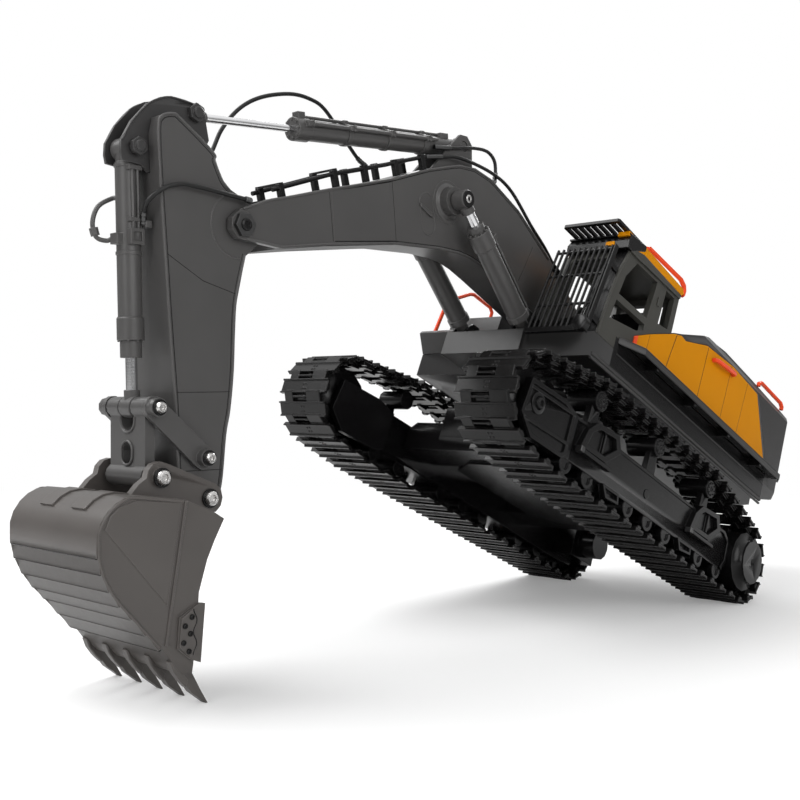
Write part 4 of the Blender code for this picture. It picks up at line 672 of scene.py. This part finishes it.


# Raised mouldings of the bucket, with the bolts apart, and apart too the black lines of painted shade under
# its plates' lower edges and along the blade's front
def bucketBits(look):
    bits, bolts, shadeLines = [], [], []
    face, blade = look["half"], look["half"] + look["bladeStep"]
    for index, (here, after) in enumerate(zip(bucketPlates, bucketPlates[1:])):
        ahead = (after - here) / np.linalg.norm(after - here)
        out = np.array((-ahead[1], ahead[0]))
        # black strip just under each plate's lower edge: a painted shadow line
        deep = 1.6 if index == len(bucketPlates) - 2 else 0.7
        corners = ((0.05, -1.4), (0.05, 0.1), (deep, -0.3), (deep + 0.2, -1.4))
        shadeLines.append(plateSurface([here + ahead * a + out * b for a, b in corners], 0.4 - face, face - 1.2,
                                   0.04))
    root = [(29.6, -68.4), (30.8, -69.6), (29, -74), (25.6, -78.4), (22, -82), (21, -78.6)]
    bits += [plateSurface(root, y - 2.1, y + 2.1, 0.5) for y in look["teeth"]]
    pad = [(43, 4.3), (50.1, 5.4), (55.9, 4.6), (60.9, 2.3), (64.9, -1.2), (63.6, -2.4), (54, 2.4),
           (43, 2.4)]
    bits += [plateSurface(pad, low, high, 0.2) for low, high in look["pads"]]
    wave = np.linspace(0, 1, 48)
    front = np.column_stack([20 + 0.9 * np.cos(wave * 4 * np.pi), -46.9 - 20.4 * wave])
    cheek = np.vstack([front, [(22.2, -67.9), (28, -63.2), (27, -50.4)]])
    rib = [(23.4, 0.8), (24.8, 0.9), (34.4, -61.6), (33, -61.8)]
    wall = [(65, -9.2), (62.6, -3.4), (58.6, 0), (50, 2.6), (26.2, 0.2), (33.2, -44.2)]
    for side in sides:
        bits += [tubeSurface(smoothPath(atSide(bucketRim, face), 4), 0.7, 8, side=side),
                 plateSurface(wall, face - 0.4, face + 0.5, side=side),
                 plateSurface(rib, face - 0.4, face + 0.8, side=side),
                 plateSurface(cheek, blade - 0.4, blade + 0.8, 0.2, side=side)]
        for x, z in ((21.7, -50.3), (25.3, -53.9), (22.4, -57.6), (26, -61.2), (23.1, -65.3)):
            bolts.append(screwSurface((x, blade + 0.7, z), side, 1.3, 1, 18))
        # black line along the blade's wavy front edge: painted shade
        shadeLines.append(tubeSurface(atSide(front - (0.3, 0), blade + 0.3), 0.4, 8, side=side))
    return bits, bolts, shadeLines


bucketRaised, bladeBolts, bucketShadeLines = bucketBits(bucketLook)
# black strips of painted shade on the bucket
makePiece("bucket_shade_lines", bucketShadeLines, bucket, "black", "bucket")
makePiece("blade_bolts", bladeBolts, bucket, "black", "bucket")
makePiece("bucket_mouldings", bucketRaised, bucket, "bucketGrey", "bucket")


# Washers and screw heads on the pins of the bucket or the rocker
def addPinScrews(body, hand, side, spots, radius, local):
    washer = [(0, -0.2), (radius + 0.9, -0.2), (radius + 0.9, 0.7), (0, 0.7)]
    washers = [turnedSurface(washer, spot, "Y", 28, side) for spot in spots]
    heads = [screwSurface((x, y + 0.6, z), side, radius, 2.2) for x, y, z in spots]
    makePiece(body + "_washers_" + hand, washers, local, "black", body)
    makePiece(body + "_screws_" + hand, heads, local, "steel", body)


hangerOut, pinRadius = 22.1, 3.4
barEnd = hangerOut + 0.2
pinBar = turnedSurface([(0, -barEnd), (pinRadius, -barEnd), (pinRadius, barEnd), (0, barEnd)])
makePiece("bucket_pin_bar", [pinBar], bucket, "steel", "bucket", ["bucket_pin"])
linkX, linkZ = pose["linkPin"]
eyeX, eyeZ = np.subtract(pose["rodEye"], pose["rocker"])
for hand, side in hands:
    addPinScrews("bucket", hand, side, [(0, hangerOut + 0.3, 0), (linkX, hangerOut + 1.6, linkZ)], 3.6,
                 bucket)
    rockerOut = hangerOut - (0.6 if side > 0 else 1.0)
    addPinScrews("rocker", hand, side, [(0, rockerOut, 0), (eyeX, hangerOut - 0.4, eyeZ)], 2.8, rocker)


# Rims round the push link's slots on both faces: an open loop above and a closed one below
def linkBits():
    bits = []
    turns, under = np.linspace(0, 2 * np.pi, 48, endpoint=False), np.linspace(0, -np.pi, 24)
    for x in (2.6, -2.6):
        lower = np.column_stack([np.full(48, x), 4.4 * np.cos(turns), 4.4 * np.sin(turns) - 20.1])
        lower[:, 2] -= np.where(np.sin(turns) < 0, 2.2, 0)
        upper = np.column_stack([np.full(24, x), 5.9 * np.cos(under), 5.9 * np.sin(under) - 5.8])
        bits.append(tubeSurface(lower, 0.6, 8, loop=True))
        bits.append(tubeSurface([(x, 5.9, -4.5), *upper, (x, -5.9, -4.5)], 0.6, 8))
    return bits


makePiece("link_rims", linkBits(), link, "charcoal", "link")
print("bucket and linkage detailed")

armOutline = [(46.9, 37.1), (45.3, 44.8), (38.2, 47.6), (33.4, 45.8), (14.6, 33.6), (13.6, 29.6), (8.9, 21),
              (4.3, 17.1), (-0.5, 15.1), (-8.5, 12.4), (-13.8, 6), (-15, -1), (-12.4, -8.4), (-5.4, -14.2),
              (-0.1, -38.5), (0.9, -70), (2.7, -89.6), (5, -101.7), (7.4, -126), (12.4, -136.8),
              (20, -140.4), (27.6, -136.6), (33, -119.6), (34.9, -89.9), (38.9, -51.6), (41.8, -21),
              (45, 11.6)]
armRuns = ([26, *range(8)], range(13, 20), range(22, 27))
armJoints = ([(34.9, -81.8), (18, -81.3), (3, -80.8)], [(32.6, -118.5), (20, -118.4), (7.6, -118.2)],
             [(41.2, -17.6), (20, -28.6), (-1, -33.5)])


# Beads along the arm's edges and round its boss, with a groove inside each and the plates' seams
def armBits():
    bits, seams = [], []
    face, sweep = 14.5, np.radians(np.linspace(-96, 62, 40))
    boss = np.column_stack([15.8 * np.cos(sweep), np.full(40, face - 0.1), 15.8 * np.sin(sweep)])
    for side in sides:
        for gap, radius, sunk, group in ((0.7, 0.7, 0, bits), (2, 0.4, 0.3, seams)):
            edge = atSide(insetOutline(armOutline, gap), face - sunk)
            group.extend(tubeSurface(smoothPath(edge[list(run)], 5), radius, 8, side=side) for run in armRuns)
        bits.append(tubeSurface(boss, 0.45, 8, side=side))
        seams += [seamStrip(path, face, side) for path in armJoints]
    return bits, seams


armRaised, armSeams = armBits()
makePiece("arm_beads", armRaised, arm, "charcoal", "arm")
makePiece("arm_seams", armSeams, arm, "black", "arm")

earOutline = [(61.2, 26.7), (61, 32.1), (56, 41.4), (47.6, 51.1), (40.5, 55.5), (34.5, 57.3), (26.4, 57.2),
              (19.5, 56.4), (15.9, 54.8), (14.8, 51.8), (12.2, 40.5)]
earEdge = atSide(insetOutline(earOutline, 0.6)[1:-1], 7.3)
earNuts, earBeads = [], []
for side in sides:
    for key, y, radius, height in (("bucketRamBase", 8.9, 4.4, 2.4), ("armRamEye", 7.3, 4.7, 2.6)):
        earNuts += nutSurface((pose[key][0], y, pose[key][1]), side, radius, height)
    earBeads.append(tubeSurface(smoothPath(earEdge, 5), 0.5, 8, side=side))
makePiece("ear_nuts", earNuts, arm, "bodyGrey", "arm")
makePiece("ear_beads", earBeads, arm, "bodyGrey", "arm")
print("arm detailed")

boomTop = [(66.9, 167.7), (108.5, 178.7), (141.5, 181.6), (157.7, 179), (171.8, 172.6), (194, 155.4),
           (219.2, 132.5), (263.3, 97.1), (280.6, 82.4), (295.4, 70.8), (308, 58)]
boomBottom = [(56.5, 123.6), (82.3, 124.9), (114.7, 126.2), (129.1, 126.4), (140, 125.4), (150, 122.8),
              (166.2, 116.6), (201.2, 99.8), (248.8, 71.2), (279.4, 51.6), (300, 44.2)]
boomLook = {"face": 12.5, "flare": 19.0, "edges": ((boomTop, 219.5, 263.2, -0.9),
                                                   (boomBottom, 201.5, 248.9, 0.9))}


# Edge line of the boom, as wide as the face and growing to the flare between start and end
def boomEdge(line, start, end, inward):
    run = lineAt(line, np.linspace(0, 1, 60))
    half = np.interp(run[:, 0], (start, end), (boomLook["face"], boomLook["flare"]))
    return np.column_stack([run[:, 0], half, run[:, 1] + inward])


# Outline of the boom's pocket: two half circles set apart along the slanting direction
def pocketOutline():
    turns, ahead = np.linspace(0, 2 * np.pi, 60, endpoint=False), np.array((0.5344, 0.8452))
    along = np.outer(6.6 * np.sign(np.sin(turns)) + 5.8 * np.sin(turns), ahead)
    return (184.8, 130.1) + along + np.outer(5.8 * np.cos(turns), (ahead[1], -ahead[0]))


def boomBits(look):
    bits, seams = [], []
    face, wide = look["face"], look["flare"] + 0.1
    (eyeAtX, eyeAtZ), (tipX, tipZ) = pose["boomRamEye"], pose["boomTip"]
    boss = [(8.4, 0), (11.2, 0), (10.8, 0.6), (10, 1), (9.2, 1.6), (8.4, 1.6)]
    ring = [(12.4, -0.1), (13.2, -0.1), (13, 0.3), (12.6, 0.3)]
    tab = [(193.4, 132.4), (181.4, 132.6), (180.2, 130.4), (182.6, 129.6), (192.4, 130.4)]
    for side in sides:
        for line, start, end, inward in look["edges"]:
            bits.append(tubeSurface(boomEdge(line, start, end, inward), 0.7, 8, side=side))
            groove = boomEdge(line, start, end, inward * 2.6) - (0, 0.3, 0)
            seams.append(tubeSurface(groove, 0.4, 8, side=side))
        bits += [turnedSurface(form, (eyeAtX, face, eyeAtZ), "Y", 48, side) for form in (boss, ring)]
        bits += [tubeSurface(atSide(pocketOutline(), face), 0.32, 8, loop=True, side=side),
                 plateSurface(tab, face - 0.3, face + 1.2, side=side)]
        seams += [seamStrip([(85.9, 165), (88.2, 151), (90.6, 137.5)], face, side),
                  seamStrip([(218.4, 131.4), (209.5, 116.4), (201, 101.4)], face, side),
                  seamStrip([(262.4, 95.4), (255.6, 84.2), (249.2, 73.2)], wide, side)]
        bits.append(collarSurface(6, 7, 0.5, (tipX, wide, tipZ), 40, side))
    return bits, seams


boomRaised, boomSeams = boomBits(boomLook)
makePiece("boom_beads", boomRaised, machine, "charcoal", "boom")
makePiece("boom_seams", boomSeams, machine, "black", "boom")
tipStuds = [screwSurface((pose["boomTip"][0], 21.6, pose["boomTip"][1]), side, 3.2, 1.2) for side in sides]
pipeLook = {"route": [(290, 83.5), (256.5, 114.5), (215.2, 148.1), (196.4, 162.4)], "spread": 8.0,
            "radius": 1.2, "clipHalf": 1.7, "strapHalf": 1.4, "down": np.array((-0.626, -0.780)),
            "clips": np.array([(286, 87.2), (256.5, 114.5), (238, 129.6), (218, 145.8), (199, 160.4)])}


# Pair of pipes over the boom on small saddles, with a strap across the two front pairs
def pipeBits(look):
    down = look["down"]
    along = np.array((-down[1], down[0]))
    spread, half = look["spread"], look["clipHalf"]

    def lowered(run):
        drop = np.interp(run[:, 0], (199, 224, 290), (0, 1.6, 2.2))
        return run + drop[:, None] * down

    def block(spot, start, end, wide):
        corners = ((start, 1), (start, -1), (end, -1), (end, 1))
        return [spot + down * d + along * s * wide for d, s in corners]

    bits = []
    run, spots = lowered(lineAt(look["route"], np.linspace(0, 1, 60))), lowered(look["clips"])
    for y in (spread, -spread):
        bits.append(tubeSurface(atSide(run, y), look["radius"], 14))
        bits += [plateSurface(block(spot, -1.8, 7.6, half), y - half, y + half) for spot in spots]
    for spot in spots[:2]:
        bits.append(plateSurface(block(spot, -2.6, -1.4, look["strapHalf"]), -spread - half, spread + half,
                                 0.2))
    return bits


makePiece("boom_pipe_run", pipeBits(pipeLook), machine, "black", "boom", ["boom_pipes"])
makePiece("tip_studs", tipStuds, machine, "black", "boom")
print("boom detailed")


# Round bar along X from steps of (start, end, radius), each shoulder eased
def steppedForm(steps, ease=0.3):
    profile = [(0, steps[0][0])]
    for start, end, radius in steps:
        profile += [(radius - ease, start), (radius, start + ease), (radius, end - ease),
                    (radius - ease, end)]
    return turnedSurface([*profile, (0, steps[-1][1])], axis="X", count=48)


# Round boss across the ram at x
def eyeForm(x, half, radius, ease=0.4):
    return turnedSurface([(0, -half), (radius - ease, -half), (radius, ease - half), (radius, half - ease),
                          (radius - ease, half), (0, half)], (x, 0, 0))


# One ram: barrel with eye and pin, bright rod, dark rod eye
def makeRam(kind, hand, look, local):
    reach, (neck, neckRadius), trunnion = look["reach"], look["neck"], 3.0
    barrel = [steppedForm(look["barrel"]), eyeForm(0, *look["eye"]), eyeForm(0, look["pin"], trunnion)]
    node, rodNode, rod = kind + "_ram_barrel" + hand, kind + "_ram_rod" + hand, kind + "_rod" + hand
    makePiece(node + "_round", barrel + look.get("extras", []), local, "charcoal", kind + "_barrel" + hand,
              [node])
    bar = steppedForm([(look["tail"], reach - neck + 1, look["rod"])])
    makePiece(rodNode + "_bar", [bar], local, "chrome", rod, [rodNode])
    end = [steppedForm([(reach - neck, reach, neckRadius)]), eyeForm(reach, *look["rodEye"])]
    makePiece(rodNode + "_end", end, local, "charcoal", rod)


boomReach = math.dist(pose["boomRamBase"], pose["boomRamEye"])
boomRamLook = {"reach": boomReach, "eye": (4.2, 5.8), "pin": 6.4, "tail": 17, "rod": 3.2, "neck": (9, 4.2),
               "rodEye": (4.4, 5.6),
               "barrel": [(0, 10.5, 4.1), (10.5, 63.8, 6.4), (63.8, 75.3, 7.1), (75.3, 79.8, 5.2)]}
clamps = [boxSurface((x, 3, 0.6), (x + 4.4, 8.4, 3.8)) for x in (29.6, 61.2, 93.2, 125.1)]
armRamLook = {"reach": math.dist(pose["armRamBase"], (armEye.x, armEye.z)), "eye": (5.4, 6), "pin": 7.6,
              "tail": 80, "rod": 2, "neck": (11, 3), "rodEye": (5.2, 5.4),
              "barrel": [(0, 5.2, 5.3), (5.2, 30, 5.6), (30, 34, 6.3), (34, 62, 5.6), (62, 65, 6.3),
                         (65, 94, 5.6), (94, 97, 6.3), (97, 124, 5.6), (124, 134, 6.3)],
              "extras": [*clamps, tubeSurface([(24, 6.9, 2.2), (76, 6.9, 2.2), (128, 6.9, 2.2)], 1.1, 16)]}
portRun = [(22, -4.6, 2), (22.2, -7, 4), (26.5, -7.5, 11), (34, -7.5, 14), (40.5, -7.2, 12.5), (42, -6, 8),
           (41, -4, 6)]
portLoop = [boxSurface((39, -3, 4), (44, 3, 8)), tubeSurface(smoothPath(portRun, 5), 1.1, 14),
            tubeSurface([(36.4, -7.4, 13.7), (38.2, -7.3, 13.3), (40, -7.2, 12.8)], 2.1, 10)]
bucketRamLook = {"reach": math.dist(pose["bucketRamBase"], pose["rodEye"]), "eye": (5.2, 5.6), "pin": 8.9,
                 "tail": 40, "rod": 2.7, "neck": (8, 3.7), "rodEye": (4.4, 5), "extras": portLoop,
                 "barrel": [(0, 6, 5.1), (6, 77.5, 5.6), (77.5, 88, 6.3), (88, 96, 5)]}
for hand in boomRams:
    makeRam("boom", "_" + hand, boomRamLook, boomRams[hand])
makeRam("arm", "", armRamLook, armRam)
makeRam("bucket", "", bucketRamLook, bucketRam)


def boomRamBits(side):
    pipe = [(9.5, 3.4, 4.4), (11, 3.6, 6.6), (15, 3.4, 7.2), (40, 3.4, 7.2), (64, 3.4, 7.2), (67.5, 3, 8.4)]
    return [boltRing([(0, -0.4), (0.8, -0.4), (0.8, 0.7), (0.5, 1), (0, 1)], 75.3, 6, 10),
            tubeSurface(smoothPath(pipe, 4), 0.8, 10, side=side),
            boxSurface((65, 1.6, 5.6), (68, 5, 9.2), side=side),
            turnedSurface([(6, 10.6), (7.1, 11), (7.1, 15), (6, 15.4)], axis="X", count=30)]


for hand, side in hands:
    local, rod, eye = boomRams[hand], "boom_rod_" + hand, (boomReach, 4.4, 0)
    makePiece("boom_ram_fittings_" + hand, boomRamBits(side), local, "charcoal", "boom_barrel_" + hand)
    ring = turnedSurface([(3, 0), (5.2, 0), (4.8, 0.6), (3, 0.6)], eye, "Y", 28, side)
    makePiece("boom_rod_ring_" + hand, [ring], local, "black", rod)
    makePiece("boom_rod_screw_" + hand, [screwSurface(eye, side, 2.6, 0.9, 20)], local, "steel", rod)


def bucketRamBits():
    bits = []
    for z in (-1.6, 1.2):
        bits.append(tubeSurface(smoothPath([(8.5, 5.6, z), (20, 5.9, z), (34, 5.9, z), (41, 5.2, z)], 4),
                                0.8, 10))
    bits += [boxSurface((start, 3, -3.6), (end, 7, 3.4)) for start, end in ((8, 10.2), (31.8, 33.8))]
    bits += [frameBand([(37, -3.8), (44.2, -3.8), (44.2, 3.4), (37, 3.4)], 4, 7.4, 1.4),
             boxSurface((37.4, 3, -3.4), (43.8, 6, 3)), boxSurface((33, 5.2, -7.2), (36.4, 8.8, -3.6))]
    hoop = [(5.4, 0), (6, 0.2), (6, 1.6), (5.4, 1.8)]
    bits += [turnedSurface(hoop, (x, 0, 0), "X", 32) for x in (6.8, 47, 77)]
    return [*bits, boltRing([(0, -0.4), (0.6, -0.4), (0.6, 0.6), (0, 0.8)], 87.8, 5.6, 8)]


makePiece("bucket_ram_fittings", bucketRamBits(), bucketRam, "charcoal", "bucket_barrel")


def armRamBits():
    bits = [screwSurface((x, 8.3, z), 1, 0.7, 0.6, 12) for x in (32, 63.5, 95.5, 126) for z in (1, 3.4)]
    bits += [boxSurface((126.2, -2.6, 5), (131.2, 2.6, 9.2)),
             boltRing([(0, -0.4), (0.8, -0.4), (0.8, 0.8), (0, 1)], 133.8, 5, 8),
             boxSurface((10, -4, 4), (17, 4, 7.6))]
    bits += [boxSurface((x, -2.6, 5.2), (x + 3.4, 2.6, 7.6)) for x in (30, 62, 94)]
    return [*bits, tubeSurface([(14, 0, 6.9), (60, 0, 6.9), (128, 0, 6.9)], 0.9, 10)]


makePiece("arm_ram_fittings", armRamBits(), armRam, "charcoal", "arm_barrel")
print("rams detailed")


# Rubber hose: circle carried along a smooth route, with a crimped sleeve at each end
def makeHose(name, points, local, body, node):
    route = smoothPath(points, 8)
    radius = 1.1
    piece = makePiece(name, [tubeSurface(route, radius, 14)], local, "rubber", body, [node], sharp=60)
    sleeves = []
    for cut in (route[:9], route[-9:]):
        reach = reachAlong(cut)
        crimps = 0.12 * np.sign(np.sin(25 * reach / reach[-1]))
        sleeves.append(tubeSurface(cut, radius + 0.4 + crimps, 14))
    ferrules = makePiece(name + "_ferrules", sleeves, local, "darkSteel", body)


# where each hose leaves one body and joins the next, in the row frame
barrelToBoom = ("arm_barrel", "boom", (0.064, 0.008, 0.289), (0.028, 0.009, 0.289))
boomToArm = ("boom", "arm", (0.160, -0.012, 0.262), (0.222, -0.012, 0.262))
tipToArm = ("boom", "arm", (0.2155, 0.018, 0.235), (0.2440, 0.018, 0.235))
makeHose("hose_boom", [(195.9, 8, 162.8), (185, 9.8, 169.8), (172.2, 11.9, 177), (143.5, 11.9, 185.4),
                       (121, 11.9, 186.3), (92.9, 11.9, 177.2), (70, 11, 171.6), (50, 10, 164),
                       (40, 9.5, 159.6)], machine, "boom", "boom_hose")
makeHose("hose_arm_ram", [(191, 7.3, 173.2), (180, 9.3, 179.5), (163.7, 9.4, 190.4), (150, 9.4, 197.2),
                          (141, 9.4, 196.4), (136.5, 9.4, 190), (135, 9.4, 183.4)], machine, barrelToBoom,
         "arm_ram_hose")
makeHose("hose_loop", [(323.1, -11.5, 71.9), (318.6, -12, 78.5), (317.2, -12, 90.2), (316.5, -12, 104),
                       (311.2, -12, 120.2), (301.3, -12, 134.2), (285.7, -12, 147.4), (272.4, -12, 153.6),
                       (260.5, -12, 154.8), (240.5, -12, 148.4), (228, -11.6, 144.2), (220.5, -10.8, 143.4)],
         machine, boomToArm, "loop_hose")
makeHose("hose_arm", [(-5.6, 18, 12.6), (-1.9, 18, 13), (6, 18, 13.4), (16.2, 18, 14.1), (27.8, 18, 14.6),
                      (36.3, 18, 14.2), (44.5, 17, 11.1), (50, 13.5, 5.5), (49.5, 9, 0.5), (48.2, 6.6, -5)],
         arm, tipToArm, "arm_hose")
print("hoses laid")

panelTop = np.array([(43.6, 118.5), (29.5, 126.7), (0.9, 141.4), (-8.6, 144.7), (-15.2, 144), (-43.9, 154.7),
                     (-86.6, 158.5), (-129.1, 156.8)])
panelLook = {"face": 78.0, "foot": 111.4, "seams": ((29.3, 28.6, 0.35), (3.2, -2.8, 0.7), (-44.5, -46.2, 0.6),
                                                    (-81, -83.5, 0.45), (-108, -111.5, 0.4))}


# Seams of the side panels, from the foot to just under the panel's top line
def panelSeams(look):
    lines = []
    for side in sides:
        for foot, head, width in look["seams"]:
            low, high = look["foot"], np.interp(-head, -panelTop[:, 0], panelTop[:, 1]) - 0.4
            line = [(foot, low), ((foot + head) / 2, (low + high) / 2), (head, high)]
            lines.append(seamStrip(line, look["face"], side, width))
    return lines


makePiece("panel_seams", panelSeams(panelLook), machine, "black", "house")

walk = {"inner": 77.9, "edge": 88.0, "top": 109.3, "sheet": 1.4, "band": 4.6,
        "brackets": (24, -30, -83, -138)}


# Walkway: thin tread with a deep band round its free edge; brackets cross beneath it
def walkwayBits(look, side):
    inner, edge, top = look["inner"], look["edge"], look["top"]
    tread = np.array([(61, inner), (44, edge), (-170, edge), (-177, edge - 4), (-177, inner)]) * (1, side)
    bits = [plateSurface(tread, top - look["sheet"], top, 0.4, "Z")]
    inset = insetOutline(tread, 1.2)
    for first in range(3):
        strip = [tread[first], tread[first + 1], inset[first + 1], inset[first]]
        bits.append(plateSurface(strip, top - look["band"], top - 0.2, 0.4, "Z"))
    dark = [boxSurface((x - 1.2, inner, top - 6.2), (x + 1.2, edge - 1.2, top - 1.2), side=side)
            for x in look["brackets"]]
    return bits, [*dark, plateSurface(insetOutline(tread, 1), top - 2, top - 1.2, 0.1, "Z")]


for hand, side in hands:
    treads, brackets = walkwayBits(walk, side)
    makePiece("walkway_tread_" + hand, treads, machine, "bodyGrey", "house", ["walkway_" + hand])
    makePiece("walkway_brackets_" + hand, brackets, machine, "black", "house")


# Sunk dark side of the deck and the round ridges along its foot
def skirtBits():
    ridges, walls = [], []
    back, middle = -166, -40
    for side, front in ((1, 85), (-1, 36)):
        for level, radius in ((86.8, 1.3), (84, 0.9)):
            line = [(x, 77.3, level) for x in (front, middle, back)]
            ridges.append(tubeSurface(line, radius, 12, side=side))
        walls.append(boxSurface((min(front, 64), 77, 88.4), (back, 77.95, 107.8), 0.1, side))
        walls.append(tubeSurface([(x, 77.8, 98.5) for x in (60, middle, back)], 0.6, 10, side=side))
    return ridges, walls


deckRidges, deckSides = skirtBits()
makePiece("deck_ridges", deckRidges, machine, "bodyGrey", "house")
makePiece("deck_sides", deckSides, machine, "black", "house")

guardFrame = turnedFrame((96, 0, 96), -math.atan2(10, 64), machine)
guardLook = {"low": 33.2, "high": 77.7, "height": 64.8, "rods": 11, "rod": 0.9, "cross": (21.1, 43.6),
             "standoffs": ((10.5, 9.4), (50, 9.1))}


# Guard of round rods in a frame, on four stand-offs to the cab
def guardBits(look):
    low, high, top = look["low"], look["high"], look["height"]
    bits = []
    for y in np.linspace(low + 1.6, high - 3, look["rods"]):
        bits.append(tubeSurface([(0, y, 0.6), (0, y, top / 2), (0, y, top - 0.4)], look["rod"], 10))
    for z in (*look["cross"], top - 2.2):
        bits.append(tubeSurface([(-0.7, low + 0.4, z), (-0.7, 55, z), (-0.7, high - 0.6, z)], look["rod"],
                                10))
    bits.append(boxSurface((-1.2, low, 0), (1.2, high, 3.4), 0.6))
    bits.append(boxSurface((-2.6, high - 1.4, 0), (1.2, high, top), 0.5))
    for y in (low + 0.3, high - 2.6):
        bits += [boxSurface((-reach, y, z), (0.2, y + 2.3, z + 4)) for z, reach in look["standoffs"]]
    return bits


makePiece("guard_rods", guardBits(guardLook), guardFrame, "black", "house", ["front_guard"])
tab = [(45.4, 110.8), (41.8, 110.8), (41.8, 119.6), (45.4, 117.6)]
makePiece("panel_tabs", [plateSurface(tab, 77.2, 78.7, side=side) for side in sides], machine, "orange",
          "house")

# raised blocks at the roof's front edge and the fascia strip under the rail
roofBlocks = [boxSurface((77.6, 62.5, 165.5), (73, 68.8, 168.2)),
              boxSurface((76.4, 69, 172.2), (66, 77.6, 175.2)),
              boxSurface((57.2, 78.6, 168.2), (6, 79.2, 172.8))]
makePiece("roof_blocks", roofBlocks, machine, "yellow", "house")
header = [(76.4, 163.6), (77, 168.6), (74.9, 172.4), (71.4, 173), (70.6, 164.2)]
corner = [(76.4, 163.4), (77, 168.8), (74.6, 173.4), (57, 175), (57, 171), (66, 166.4), (70.6, 163.4)]
roofLip = plateSurface([(76, 33), (76, 77.9), (56, 77.9), (64, 33)], 172.8, 174.5, axis="Z")
headerBits = [plateSurface(header, 33, 77.9, 0.4), plateSurface(corner, 77.2, 79.4, 0.4), roofLip]
makePiece("roof_header", headerBits, machine, "black", "house")
fascia = [(72, 163), (66, 166.8), (57, 168.8), (5.2, 167.8), (5.2, 165), (60, 163)]
makePiece("roof_fascia", [plateSurface(fascia, 77.4, 79.3)], machine, "cabGrey", "house")
pillar = [(85.4, 100.4), (81.5, 131), (78.2, 147), (71.7, 164.5), (70.9, 164.2), (77.4, 146.6),
          (80.7, 130.8), (84.6, 100.4)]
makePiece("front_pillar", [plateSurface(pillar, 64, 76.8, 0.2)], machine, "black", "house")

# pillar bead and hinges on the cab's left side
cabFace = 77.7
bead = atSide([(84.2, 100.8), (80.5, 131), (77.2, 146.6), (71, 163.4)], cabFace)
cabTrim = [tubeSurface(lineAt(bead, np.linspace(0, 1, 24)), 0.7, 8)]
cabTrim += [boxSurface((26.2, cabFace - 0.2, z), (29, cabFace + 0.8, z + 6)) for z in (108, 148)]
makePiece("cab_trim", cabTrim, machine, "cabGrey", "house")
print("house detailed")
